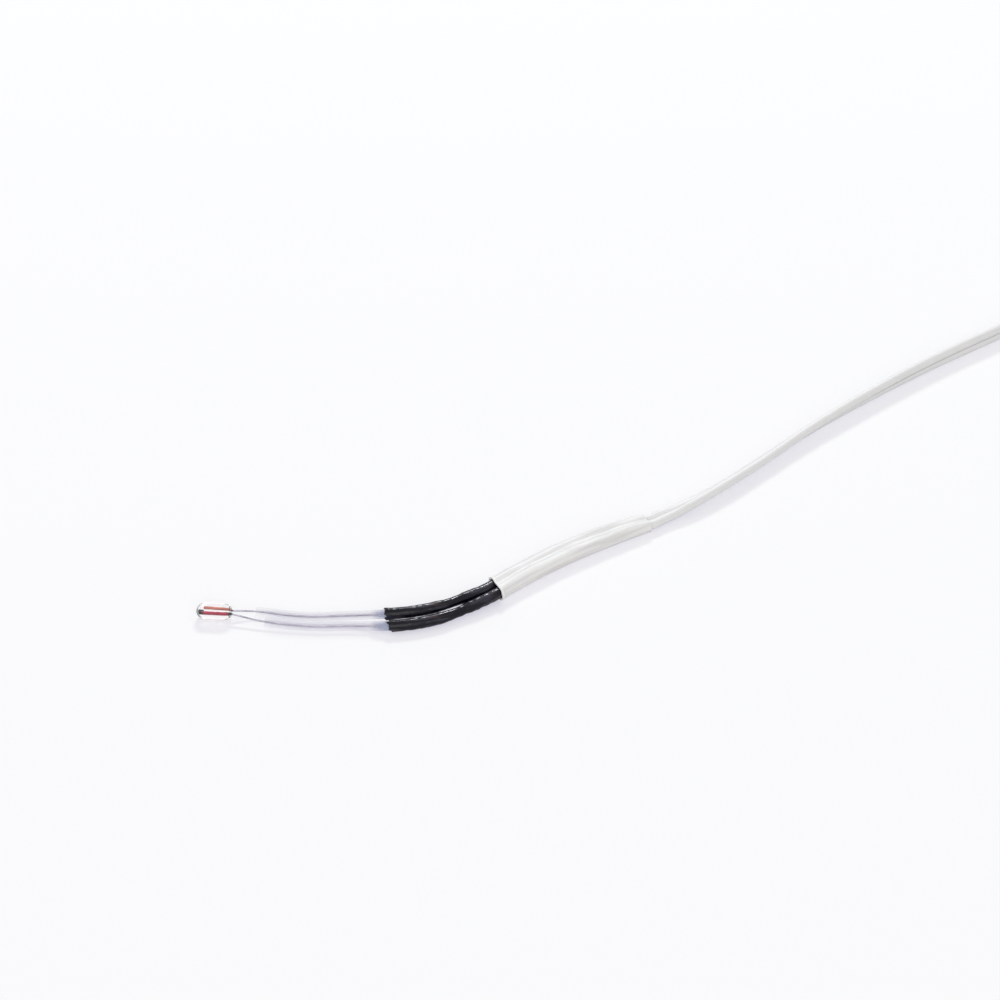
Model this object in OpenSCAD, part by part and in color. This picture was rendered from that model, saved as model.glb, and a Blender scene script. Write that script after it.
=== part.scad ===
// Glass-bead thermistor with two insulated leads, shrink tubing and a flat twin lead.
// Millimetres. +X runs along the white sleeve towards the cable, +Z is up, and the
// origin is the middle of the sleeve's flat underside, on the surface it lies on.

/* [Glass bead] */
// Diameter of the glass bead
glass_d = 1.9; // [1.6:0.1:2.4]
// Length of the glass bead, tip to rear
glass_len = 4.1; // [3.8:0.1:5]
// Length of the drawn-in cone at the rear of the glass
rear_cone = 0.7; // [0.4:0.1:1.2]
// Diameter of the glass at its rear face
rear_d = 1.3; // [1.2:0.1:1.6]
// Glass between the tip and the chip
tip_wall = 0.45; // [0.35:0.05:0.9]

/* [Chip and leads] */
// Length of the chip along the bead
chip_len = 0.5; // [0.3:0.05:0.8]
// Width of the chip across the bead
chip_w = 0.5; // [0.3:0.05:0.6]
// Diameter of each lead wire
lead_d = 0.3; // [0.2:0.02:0.34]
// Distance between the two leads beside the chip
lead_gap = 0.62; // [0.56:0.02:0.8]
// Distance between the two leads at the rear face of the glass
lead_gap_rear = 0.56; // [0.5:0.02:0.7]
// Angle of the plane through both leads, from lying flat
lead_roll = 0; // [-20:5:60]

/* [Lie] */
// Distance along X from the glass's rear to the white sleeve
lead_reach = 28.4; // [28:0.2:30]
// Distance in Y from the glass's rear to the middle of the white sleeve's mouth
lead_swing = 13.2; // [12.4:0.2:14]
// Half the distance between the two leads where they lie widest apart
splay = 1.1; // [1.04:0.02:1.3]
// Half the height by which tube a lies above tube b at the tubes' open ends
tube_lift = 0.35; // [0:0.05:0.4]
// Direction of the bead from its tip to its rear, counted from +X
bead_heading = -38; // [-46:1:-34]
// How far the white sleeve's ends bend to -Y
sleeve_bow = 0.8; // [0:0.05:1]
// Slope of the white sleeve's middle against X
sleeve_turn = 0.03; // [-0.05:0.01:0.1]

/* [Lead sleeves] */
// Outside diameter of each lead sleeve
ptfe_od = 1.1; // [0.9:0.05:1.25]
// Bore of each lead sleeve
ptfe_id = 0.6; // [0.5:0.05:0.7]
// Bare lead between the glass and its sleeve, measured along X
bare_lead = 2.6; // [2.4:0.1:5]

/* [Splices] */
// Length of lead sleeve inside the black tube
ptfe_tuck = 5.8; // [4:0.2:8]
// Length between the lead sleeve and the cable core, where the splice sits
splice_len = 3.6; // [3:0.2:5]
// Diameter of the soldered splice at its middle
solder_d = 0.7; // [0.6:0.05:0.9]
// Space at each end of the splice, before the sleeve or the core begins
solder_gap = 0.2; // [0.1:0.05:0.4]
// Gap between the ends of the two wires inside the solder
wire_gap = 0.2; // [0.1:0.05:0.4]

/* [Black shrink tube] */
// Wall of the black tubes
black_wall = 0.14; // [0.1:0.02:0.2]
// Length of each step between two diameters
black_step = 0.5; // [0.3:0.1:0.8]
// Length of black tube inside the white sleeve
black_tuck = 12; // [9:0.5:14]

/* [White sleeve] */
// Length of the white sleeve
white_len = 22; // [20:0.5:30]
// Wall of the white sleeve
white_wall = 0.18; // [0.14:0.01:0.26]
// Height of the white sleeve where the cable leaves it
white_far_h = 1.6; // [1.56:0.02:1.8]
// Depth of the dip between the sleeve's two ridges
white_dip = 0.08; // [0:0.01:0.12]
// Slant of the cut at the white sleeve's mouth, along X for each millimetre of Y
mouth_slant = 0.16; // [0:0.02:0.3]

/* [Cable] */
// Diameter of each insulated core
core_d = 1.1; // [1:0.02:1.14]
// Diameter of the stranded conductor
conductor_d = 0.38; // [0.3:0.02:0.44]
// Length of cable core in the black tube ahead of the white sleeve
core_lead_in = 4.3; // [3:0.1:5]
// Length of twin cable inside the white sleeve
twin_tuck = 6; // [5:0.5:8]
// Length of bare wire at the far end of each core
strip_len = 5; // [3:0.5:8]

/* [Hank] */
// Full turns in each of the hank's two layers
hank_turns = 5; // [3:1:5]
// Radius of the hank's outermost turn, at the middle of the cable
hank_r = 10.2; // [10.2:0.1:11]
// Length of the hank's straight runs
hank_run = 17.8; // [14:0.2:30]
// Space left between neighbouring turns
turn_gap = 0.05; // [0.02:0.01:0.06]
// Thickness of the strip tied round the hank
tie_t = 0.3; // [0.2:0.05:0.4]
// Width of the strip tied round the hank
tie_w = 3; // [2:0.5:5]
// Length of the tie's twisted ends
tie_twist_len = 6; // [3:0.5:7]

/* [Fit] */
// Gap left between pieces that touch
clear = 0.02; // [0.02:0.005:0.03]

/* [Hidden] */

$fn = 64;
sides_wire = 8;
sides_tube = 12;
sides_shrink = 16;
grid = 1;
tiny = 0.01;
solder_skin = 0.06;
strand_twist_len = 4;

// Radii, each from the sizes above
glass_r = glass_d / 2;
lead_r = lead_d / 2;
ptfe_r = ptfe_od / 2;
core_r = core_d / 2;
conductor_r = conductor_d / 2;
solder_r = solder_d / 2;
black_r = max(ptfe_r, core_r) + clear + black_wall;

// Places along X, counted from the sleeve's mouth
mouth_x = -white_len / 2;
exit_x = white_len / 2;
split_x = exit_x - twin_tuck;
black_end_x = mouth_x + black_tuck;
core_x = mouth_x - core_lead_in;
splice_x = core_x - splice_len;
black_start_x = splice_x - ptfe_tuck;
bead_x = mouth_x - lead_reach;
ptfe_x = bead_x + bare_lead;
solder_x = [splice_x + solder_gap, core_x - solder_gap];
splice_mid = (splice_x + core_x) / 2;
lead_end_x = splice_mid - wire_gap / 2;
conductor_x = splice_mid + wire_gap / 2;

// Middle line of the white sleeve, which bends a little, and how much wider its section gets
// in the plane square to X
function sleeve_y(x) = sleeve_turn * x - sleeve_bow * (x / exit_x) ^ 2;
function sleeve_w(x) = norm([1, sleeve_turn - 2 * sleeve_bow * x / exit_x ^ 2]);
mouth_y = sleeve_y(mouth_x);

// Pose of the bead, from the middle of its rear face
bead_rear = [bead_x, mouth_y + lead_swing, glass_r];
bead_dir = [cos(bead_heading), sin(bead_heading), 0];
bead_tip = bead_rear - glass_len * bead_dir;
roll_dir = [-sin(bead_heading) * cos(lead_roll), cos(bead_heading) * cos(lead_roll), sin(lead_roll)];
lead_slant = atan((lead_gap - lead_gap_rear) / 2 / (glass_len - tip_wall));

// The paired wires as rows of [x, middle y, half spacing in y, middle z, half spacing in z]:
// the first seven lie between glass and white sleeve, at shares of the reach and the swing,
// with tube a lying higher than tube b; the others lie side by side in the sleeve
floor_ptfe = ptfe_r + 0.07;
floor_black = black_r + 0.02;
in_white = white_wall + 2 * clear + black_r;
in_far = white_wall + 2 * clear + core_r;
function sleeve_row(x, half, z) = [x, sleeve_y(x), half * sleeve_w(x), z, 0];
pair_rows = concat([
    [mouth_x - 0.908 * lead_reach, mouth_y + 0.830 * lead_swing, splay, floor_ptfe + 0.06, 0],
    [mouth_x - 0.768 * lead_reach, mouth_y + 0.563 * lead_swing, 0.94 * splay, floor_ptfe, 0.02],
    [mouth_x - 0.616 * lead_reach, mouth_y + 0.351 * lead_swing, 0.91 * splay, floor_ptfe + 0.06, 0.06],
    [mouth_x - 0.486 * lead_reach, mouth_y + 0.142 * lead_swing, black_r + 0.05,
        floor_black + tube_lift, tube_lift],
    [mouth_x - 0.366 * lead_reach, mouth_y + 0.029 * lead_swing, black_r,
        floor_black + tube_lift, tube_lift],
    [mouth_x - 0.246 * lead_reach, mouth_y - 0.019 * lead_swing, black_r,
        floor_black + 0.8 * tube_lift, 0.75 * tube_lift],
    [mouth_x - 0.106 * lead_reach, mouth_y - 0.019 * lead_swing, black_r + 0.04,
        in_white, 0.15 * tube_lift]],
    [for (x = [mouth_x - 1, for (t = [0, 0.08, 0.3, 0.55, 0.8, 1]) mouth_x + t * black_tuck])
        sleeve_row(x, black_r + clear / 2, in_white)],
    [for (x = [black_end_x + 0.7 * (split_x - black_end_x), split_x, split_x + 2])
        sleeve_row(x, core_r + clear / 2, in_far)]);

// The hank lies along X; its left centre is set by the end of the cable's route
hank_x = 98;
hank_top = 11.8;
hank_y = hank_top - hank_r;
hank_pitch = core_d + turn_gap;
layer_h = 2 * core_d;
hank_h = 2 * layer_h + turn_gap;
hank_outer = hank_r + core_r;
hank_inner = hank_r - hank_turns * hank_pitch - core_r;
hank_bottom = hank_y - hank_r;
tie_x = hank_x + hank_run / 2;

// Cable route as [x, y, z, twist from flat], chosen by hand
run_route = concat([for (x = [split_x + 2 * clear, split_x + 0.4, split_x + 1.5, split_x + 3,
                             split_x + 4.5, exit_x, exit_x + 0.6]) [x, sleeve_y(x), in_far, 0]], [
    [13, -0.5, 0.74, -3],
    [15, -0.48, 0.74, -13],
    [17, -0.42, 0.85, -25],
    [20, -0.18, 0.93, -37],
    [24, 0.42, 0.96, -43],
    [28, 1.2, 0.96, -43],
    [32, 2.05, 0.97, -45],
    [38, 3.35, 1.04, -53],
    [44, 4.35, 1.1, -62],
    [50, 5.15, 1.13, -71],
    [56, 5.85, 1.14, -79],
    [62, 6.4, 1.13, -85],
    [68, 6.75, 1.12, -90],
    [74, 7.05, 1.12, -90],
    [80, 7.9, 1.12, -90],
    [84, 8.9, 1.1, -90],
    [88, 10.2, 1.1, -90],
    [92, 11.3, 1.1, -90],
    [96, hank_top, core_d, -90],
    [hank_x, hank_top, core_d, -90]
]);
tail_route = [
    [hank_x, hank_bottom, hank_h - core_d, 90],
    [96, hank_bottom, hank_h - core_d, 90],
    [94, hank_bottom, hank_h - core_d, 90],
    [92, -8.65, 3, 82],
    [90, -8.7, 2.4, 66],
    [88, -8.75, 1.8, 48],
    [86, -8.75, 1.25, 30],
    [84, -8.7, 0.85, 13],
    [82, -8.6, 0.6, 2],
    [81, -8.6, 0.57, 0],
    [80, -8.6, 0.57, 0]
];
tail_route_a = [
    [80, -9.16, 0.57], [78.5, -9.16, 0.57], [76.5, -9.35, 0.57], [74.5, -9.7, 0.57],
    [72.2, -9.9, 0.57], [70, -9.95, 0.57]
];
tail_route_b = [
    [80, -8.04, 0.57], [78.5, -8.04, 0.57], [76.5, -7.8, 0.57], [74.5, -7.35, 0.57],
    [72.2, -6.95, 0.57], [70, -6.7, 0.57]
];

// Middle of one lead inside the glass, u along the bead from its tip
function bead_point(side, u) =
    let (k = (u - tip_wall) / (glass_len - tip_wall),
         gap = lead_gap + (lead_gap_rear - lead_gap) * k)
    bead_tip + u * bead_dir + side * gap / 2 * roll_dir;

// Knots of one wire from the rear of the glass to the split of the cable
function knots(side) = concat(
    [bead_point(side, glass_len)],
    [for (r = pair_rows) [r[0], r[1] + side * r[2], r[3] + side * r[4]]]);

// Smooth curve through knots: a cubic in x between each two, with matching slopes
function span_at(k, x, i = 0) = (i >= len(k) - 2 || x < k[i + 1][0]) ? i : span_at(k, x, i + 1);
function slope(k, i, c) =
    let (lo = max(i - 1, 0), hi = min(i + 1, len(k) - 1))
    (k[hi][c] - k[lo][c]) / (k[hi][0] - k[lo][0]);
function cubic(a, b, ma, mb, h, t) =
    (2 * t ^ 3 - 3 * t ^ 2 + 1) * a + (t ^ 3 - 2 * t ^ 2 + t) * h * ma
    + (3 * t ^ 2 - 2 * t ^ 3) * b + (t ^ 3 - t ^ 2) * h * mb;
function curve(k, x) =
    let (i = span_at(k, x), h = k[i + 1][0] - k[i][0], t = (x - k[i][0]) / h)
    [x, cubic(k[i][1], k[i + 1][1], slope(k, i, 1), slope(k, i + 1, 1), h, t),
        cubic(k[i][2], k[i + 1][2], slope(k, i, 2), slope(k, i + 1, 2), h, t)];
function curve_dir(k, x) = curve(k, x + tiny) - curve(k, x - tiny);

// Stations from x0 to x1: both ends, the extra ones between them, and grid points clear of those
function stations(x0, x1, extra = []) =
    let (own = concat([x0, x1], [for (x = extra) if (x > x0 + tiny && x < x1 - tiny) x]))
    sorted(concat(own, [for (i = [ceil(x0 / grid) : floor(x1 / grid)])
        if (min([for (x = own) abs(x - i * grid)]) > grid / 4) i * grid]));
function sorted(v) = len(v) <= 1 ? v :
    let (p = v[floor(len(v) / 2)])
    concat(sorted([for (x = v) if (x < p) x]), [for (x = v) if (x == p) x],
           sorted([for (x = v) if (x > p) x]));

// Ring of points: an outline of [across, up] pairs set square to a direction
function unit(v) = v / norm(v);
function set_ring(p, dir, outline) =
    let (t = unit(dir), across = unit(cross([0, 0, 1], t)), up = cross(t, across))
    [for (q = outline) p + q[0] * across + q[1] * up];
function round_outline(r, n) = [for (i = [0 : n - 1]) r * [cos(360 * i / n), sin(360 * i / n)]];
function wire_rings(k, xs, r, n) =
    [for (x = xs) set_ring(curve(k, x), curve_dir(k, x), round_outline(r, n))];

// Black tube's radii: over the lead sleeve, over the splice and over the cable core
function blend(a, b, x, x0, x1) = a + (b - a) * min(max((x - x0) / (x1 - x0), 0), 1);
function black_bore(x) =
    x < core_x - black_step ? blend(ptfe_r, solder_r, x, splice_x, splice_x + black_step) + clear
    : blend(solder_r, core_r, x, core_x - black_step, core_x) + clear;

// White sleeve's section: two half circles with a shallow dip between them on top; it keeps the
// size of the black tubes and narrows from their end to where the cable leaves
function narrowing(x) = min(max((x - black_end_x) / (exit_x - black_end_x), 0), 1) ^ 2;
function white_h(x) = 2 * in_white + (white_far_h - 2 * in_white) * narrowing(x);
function white_half_gap(x) = black_r + clear + (core_r + 2 * clear - black_r) * narrowing(x);
function white_outline(x, inset) =
    let (r = white_h(x) / 2, s = white_half_gap(x), n = 9)
    concat([for (i = [0 : n]) half_circle_point(s, r, r - inset, -90 + 180 * i / n)],
           [for (k = [0.5, 0, -0.5]) [k * s, 2 * r - inset - white_dip * cos(90 * k)]],
           [for (i = [0 : n]) half_circle_point(-s, r, r - inset, 90 + 180 * i / n)]);
function half_circle_point(across, up, r, a) = [across + r * cos(a), up + r * sin(a)];
function ring_slant(x) = mouth_slant * max(1 - (x - mouth_x) / 3, 0);
function white_rings(xs, inset) =
    [for (x0 = xs) [for (q = white_outline(x0, inset))
        let (x = x0 + ring_slant(x0) * q[0]) [x, sleeve_y(x) + sleeve_w(x) * q[0], q[1]]]];

// Twin cable's outline: eight points round its two cores, turned by the twist
function twin_outline(twist) =
    [for (s = [1, -1], a = [-67.5, -22.5, 22.5, 67.5])
        let (q = [s * core_r + core_r / cos(22.5) * cos(a) * s, core_r / cos(22.5) * sin(a) * s])
        [q[0] * cos(twist) - q[1] * sin(twist), q[0] * sin(twist) + q[1] * cos(twist)]];
function route_dir(r, i) =
    let (lo = max(i - 1, 0), hi = min(i + 1, len(r) - 1))
    [for (c = [0 : 2]) r[hi][c] - r[lo][c]];
function route_point(r, i) = [r[i][0], r[i][1], r[i][2]];

// Closed skin over a row of rings with flat ends
module skin(rings) {
    n = len(rings[0]);
    last = len(rings) - 1;
    polyhedron(
        points = [for (r = rings, p = r) p],
        faces = concat(
            [[for (j = [0 : n - 1]) j]],
            [[for (j = [0 : n - 1]) last * n + n - 1 - j]],
            [for (i = [0 : last - 1], j = [0 : n - 1])
                [i * n + j, (i + 1) * n + j, i * n + (j + 1) % n]],
            [for (i = [0 : last - 1], j = [0 : n - 1])
                [i * n + (j + 1) % n, (i + 1) * n + j, (i + 1) * n + (j + 1) % n]]));
}

// Hollow skin: out along the outer rings and back along the inner ones
module shell(outer, inner) {
    n = len(outer[0]);
    rings = concat(outer, [for (i = [len(inner) - 1 : -1 : 0]) inner[i]]);
    m = len(rings);
    polyhedron(
        points = [for (r = rings, p = r) p],
        faces = [for (i = [0 : m - 1], j = [0 : n - 1], f = [0, 1])
            let (a = i * n + j, b = ((i + 1) % m) * n + j,
                 c = i * n + (j + 1) % n, d = ((i + 1) % m) * n + (j + 1) % n)
            f == 0 ? [a, b, c] : [c, b, d]]);
}

// Puts children into the bead: their +Z runs from its tip to its rear, +Y from lead b to lead a
module in_bead() {
    translate(bead_tip) rotate([0, 90, bead_heading]) rotate([0, 0, lead_roll]) children();
}

module chip_block(grow = 0) {
    thick = lead_gap - lead_d - 2 * clear + 2 * grow;
    translate([-chip_w / 2 - grow, -thick / 2, tip_wall - grow])
        cube([chip_w + 2 * grow, thick, chip_len + 2 * grow]);
}

module glass_body() {
    color([0.86, 0.93, 0.95, 0.4])
    in_bead() difference() {
        rotate_extrude() intersection() {
            union() {
                translate([0, glass_r]) circle(glass_r);
                translate([0, glass_r]) square([glass_r, glass_len - glass_r - rear_cone]);
                polygon([[0, glass_len - rear_cone], [glass_r, glass_len - rear_cone],
                         [rear_d / 2, glass_len], [0, glass_len]]);
            }
            square([glass_r, glass_len]);
        }
        for (side = [1, -1])
            translate([0, side * lead_gap / 2, tip_wall - clear]) rotate([side * lead_slant, 0, 0])
                cylinder(r = lead_r + clear / 2, h = glass_len);
        chip_block(clear / 2);
    }
}

module sensor_chip() {
    color([0.16, 0.17, 0.18]) in_bead() chip_block();
}

// One lead wire: straight in the glass, then along its curve into the splice
module lead(side) {
    k = knots(side);
    inner_dir = bead_point(side, glass_len) - bead_point(side, tip_wall);
    rings = concat(
        [for (u = [tip_wall, glass_len - 0.1])
            set_ring(bead_point(side, u), inner_dir, round_outline(lead_r, sides_wire))],
        wire_rings(k, stations(k[0][0] + 0.3, lead_end_x), lead_r, sides_wire));
    color([0.62, 0.5, 0.47]) skin(rings);
}
module lead_a() { lead(1); }
module lead_b() { lead(-1); }

module ptfe_sleeve(side) {
    k = knots(side);
    xs = stations(ptfe_x, splice_x - clear, [black_start_x]);
    color([0.87, 0.9, 0.96, 0.6])
        shell(wire_rings(k, xs, ptfe_r, sides_tube), wire_rings(k, xs, ptfe_id / 2, sides_tube));
}
module ptfe_sleeve_a() { ptfe_sleeve(1); }
module ptfe_sleeve_b() { ptfe_sleeve(-1); }

// Solder over the meeting wires, thick in the middle and drawn in at both ends
module wire_hole(k, x0, x1, r) {
    skin(wire_rings(k, stations(x0, x1), r, sides_wire));
}
module solder_joint(side) {
    k = knots(side);
    len_x = solder_x[1] - solder_x[0];
    xs = [for (t = [0, 0.12, 0.3, 0.5, 0.7, 0.88, 1]) solder_x[0] + t * len_x];
    small_r = max(lead_r, conductor_r) + solder_skin;
    rings = [for (x = xs)
        let (t = (x - solder_x[0]) / len_x)
        set_ring(curve(k, x), curve_dir(k, x),
                 round_outline(small_r + (solder_r - small_r) * sin(180 * t), sides_tube))];
    color([0.7, 0.71, 0.73]) difference() {
        skin(rings);
        wire_hole(k, solder_x[0] - 0.3, lead_end_x + clear, lead_r + clear);
        wire_hole(k, conductor_x - clear, solder_x[1] + 0.3, conductor_r + clear);
    }
}
module solder_joint_a() { solder_joint(1); }
module solder_joint_b() { solder_joint(-1); }

module black_shrink(side) {
    k = knots(side);
    steps = [splice_x, splice_x + black_step, core_x - black_step, core_x];
    xs = stations(black_start_x, black_end_x, steps);
    outer = [for (x = xs) set_ring(curve(k, x), curve_dir(k, x),
        round_outline(black_bore(x) + black_wall, sides_shrink))];
    inner = [for (x = xs) set_ring(curve(k, x), curve_dir(k, x),
        round_outline(black_bore(x), sides_shrink))];
    color([0.09, 0.09, 0.1]) shell(outer, inner);
}
module black_shrink_a() { black_shrink(1); }
module black_shrink_b() { black_shrink(-1); }

module conductor(side) {
    color([0.78, 0.75, 0.72])
        skin(wire_rings(knots(side), stations(conductor_x, split_x), conductor_r, sides_wire));
}
module conductor_a() { conductor(1); }
module conductor_b() { conductor(-1); }

module cable_core(side) {
    k = knots(side);
    xs = stations(core_x + clear, split_x);
    color([0.9, 0.91, 0.88])
        shell(wire_rings(k, xs, core_r, sides_tube),
              wire_rings(k, xs, conductor_r + clear, sides_tube));
}
module cable_core_a() { cable_core(1); }
module cable_core_b() { cable_core(-1); }

module white_shrink() {
    xs = [for (t = [0, 0.5, for (i = [1 : 13]) 1.5 * i + 0.5]) mouth_x + t * white_len / 22];
    all_xs = concat(xs, [exit_x - 0.5, exit_x]);
    color([0.94, 0.95, 0.92]) shell(white_rings(all_xs, 0), white_rings(all_xs, white_wall));
}

module twin_cable(route) {
    color([0.92, 0.93, 0.9])
        skin([for (i = [0 : len(route) - 1])
            set_ring(route_point(route, i), route_dir(route, i), twin_outline(route[i][3]))]);
}
module cable_run() { twin_cable(run_route); }
module cable_tail() { twin_cable(tail_route); }

// Outline of one layer: half a circle at each end, the left one half a pitch smaller and
// moved down or up by as much, so that each turn runs on into the next
module layer_outline(left_shift) {
    left_r = hank_outer - hank_pitch / 2;
    intersection() {
        translate([hank_x + hank_run, hank_y]) circle(hank_outer);
        translate([hank_x + hank_run, hank_y - hank_outer]) square([hank_outer, 2 * hank_outer]);
    }
    intersection() {
        translate([hank_x, hank_y + left_shift]) circle(left_r);
        translate([hank_x - left_r, hank_y + left_shift - left_r]) square([left_r, 2 * left_r]);
    }
    translate([hank_x, hank_y - hank_outer]) square([hank_run, 2 * hank_outer]);
}

// Hank's outer shape: the lower layer winds inwards and the upper one winds outwards
module hank_layers() {
    half_pitch = hank_pitch / 2;
    low_h = layer_h + turn_gap;
    difference() {
        union() {
            linear_extrude(low_h) layer_outline(-half_pitch);
            translate([0, 0, low_h]) linear_extrude(hank_h - low_h) layer_outline(half_pitch);
        }
        translate([0, 0, -1]) linear_extrude(hank_h + 2) {
            translate([hank_x, hank_y]) circle(hank_inner);
            translate([hank_x + hank_run, hank_y]) circle(hank_inner);
            translate([hank_x, hank_y - hank_inner]) square([hank_run, 2 * hank_inner]);
        }
    }
}

// Box over the strip's width, where the hank is lifted by the strip under it
module tie_zone() {
    translate([tie_x - tie_w / 2 - clear, hank_y - hank_outer - 1, -1])
        cube([tie_w + 2 * clear, 2 * hank_outer + 2, hank_h + 2]);
}
module cable_hank() {
    color([0.92, 0.93, 0.9]) {
        difference() {
            hank_layers();
            tie_zone();
        }
        translate([0, 0, tie_t + clear]) intersection() {
            hank_layers();
            tie_zone();
        }
    }
}

// Rounded rectangle from the origin
module rounded(w, h, r) {
    translate([r, 0]) square([w - 2 * r, h]);
    translate([0, r]) square([w, h - 2 * r]);
    for (x = [r, w - r], y = [r, h - r]) translate([x, y]) circle(r);
}

// Strip round the hank's waist, its two ends twisted together along the side
module hank_tie() {
    bundle_w = 2 * (hank_outer + clear);
    bundle_h = hank_h + 2 * clear;
    band_h = bundle_h + 2 * tie_t;
    twist_w = tie_w / 2;
    color([0.85, 0.86, 0.84]) translate([tie_x, hank_y, 0]) {
        translate([-tie_w / 2, 0, 0]) rotate([90, 0, 90]) linear_extrude(tie_w) difference() {
            translate([-bundle_w / 2 - tie_t, 0]) rounded(bundle_w + 2 * tie_t, band_h, 2 * tie_t);
            translate([-bundle_w / 2, tie_t]) square([bundle_w, bundle_h]);
        }
        translate([0, hank_outer + twist_w / 2 + 3 * clear, band_h / 2]) rotate([0, 90, 0])
            linear_extrude(tie_twist_len, twist = 540, slices = 24, segments = 4)
                square([1.6 * tie_t, twist_w], center = true);
    }
}

module tail_core(route) {
    rings = [for (i = [0 : len(route) - 1])
        set_ring(route[i], route_dir(route, i), round_outline(core_r, sides_wire))];
    color([0.92, 0.93, 0.9]) skin(rings);
}
module tail_core_a() { tail_core(tail_route_a); }
module tail_core_b() { tail_core(tail_route_b); }

// Tinned bare wire that carries on from the end of a core: seven strands twisted together
module stripped_end(route) {
    last = len(route) - 1;
    dir = route[last] - route[last - 1];
    strand_r = 0.36 * conductor_r;
    color([0.75, 0.75, 0.74]) translate(route[last]) rotate([0, 90, atan2(dir[1], dir[0])])
        linear_extrude(strip_len, twist = 360 * strip_len / strand_twist_len,
                       slices = 2 * strip_len, segments = 1) {
            circle(strand_r, $fn = 6);
            for (i = [0 : 5]) rotate(60 * i) translate([conductor_r - strand_r, 0])
                circle(strand_r, $fn = 6);
        }
}
module stripped_end_a() { stripped_end(tail_route_a); }
module stripped_end_b() { stripped_end(tail_route_b); }

glass_body();
sensor_chip();
lead_a();
lead_b();
ptfe_sleeve_a();
ptfe_sleeve_b();
solder_joint_a();
solder_joint_b();
black_shrink_a();
black_shrink_b();
conductor_a();
conductor_b();
cable_core_a();
cable_core_b();
white_shrink();
cable_run();
cable_hank();
hank_tie();
cable_tail();
tail_core_a();
tail_core_b();
stripped_end_a();
stripped_end_b();
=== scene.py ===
"""Dresses a glass-bead thermistor: bead, leads, sleeves, shrink tubes, twin lead and its hank."""

import math

import bpy
import numpy as np
from bpy.props import FloatProperty, FloatVectorProperty, IntProperty, PointerProperty
from bpy.types import Operator, Panel, PropertyGroup
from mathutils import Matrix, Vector


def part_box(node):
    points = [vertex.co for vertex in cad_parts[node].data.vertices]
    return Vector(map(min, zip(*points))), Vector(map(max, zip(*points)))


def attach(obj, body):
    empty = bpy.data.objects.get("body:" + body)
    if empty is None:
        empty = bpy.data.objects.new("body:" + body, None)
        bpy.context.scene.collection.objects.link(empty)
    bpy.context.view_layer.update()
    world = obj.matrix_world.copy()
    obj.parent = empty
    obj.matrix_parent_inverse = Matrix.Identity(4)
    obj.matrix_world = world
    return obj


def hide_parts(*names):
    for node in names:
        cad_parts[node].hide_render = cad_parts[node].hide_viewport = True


bl_info = {
    "name": "Glass bead thermistor",
    "version": (1, 0, 0),
    "blender": (4, 5, 0),
    "location": "3D View > Sidebar > Thermistor",
    "description": "Makes the bead, leads, sleeves, shrink tubes and twin lead of a thermistor",
    "category": "Add Mesh",
}

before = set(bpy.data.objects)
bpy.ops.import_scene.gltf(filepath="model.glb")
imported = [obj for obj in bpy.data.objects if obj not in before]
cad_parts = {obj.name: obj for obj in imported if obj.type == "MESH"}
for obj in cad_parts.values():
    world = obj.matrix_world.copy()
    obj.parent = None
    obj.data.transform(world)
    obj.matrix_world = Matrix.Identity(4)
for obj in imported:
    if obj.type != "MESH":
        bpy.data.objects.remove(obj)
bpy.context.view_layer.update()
MM = 0.001
BODY = "root"
# The two leads, and the side of the middle line on which each lies
SIDES = {"a": 1.0, "b": -1.0}
# The white sleeve: its two ends along X, how far it bows, and the slope at its middle
MOUTH_X = -11 * MM
EXIT_X = 11 * MM
SLEEVE_BOW = 0.8 * MM
SLEEVE_TURN = 0.03


def sleeve_y(x):
    """Middle line of the white sleeve, a shallow parabola that bends its ends to -Y."""
    return SLEEVE_TURN * x - SLEEVE_BOW * (x / EXIT_X) ** 2


def sleeve_w(x):
    """How much wider the sleeve's section gets in a plane square to X."""
    return np.hypot(1.0, SLEEVE_TURN - 2 * SLEEVE_BOW * x / EXIT_X ** 2)


def length(name, description, default):
    """A length property in metres."""
    return FloatProperty(name=name, description=description, default=default,
                         unit="LENGTH", precision=5, min=0.0)


def number(name, description, default, unit="NONE"):
    """A number property, which may be negative."""
    return FloatProperty(name=name, description=description, default=default, unit=unit,
                         precision=5)


def colour(name, description, default):
    """A colour property, linear red, green and blue."""
    return FloatVectorProperty(name=name, description=description, default=default,
                               subtype="COLOR", size=3, min=0.0, max=1.0)


def turn(name, description, degrees):
    """An angle property, given in degrees and kept in radians."""
    return FloatProperty(name=name, description=description, default=math.radians(degrees),
                         subtype="ANGLE")


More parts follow.
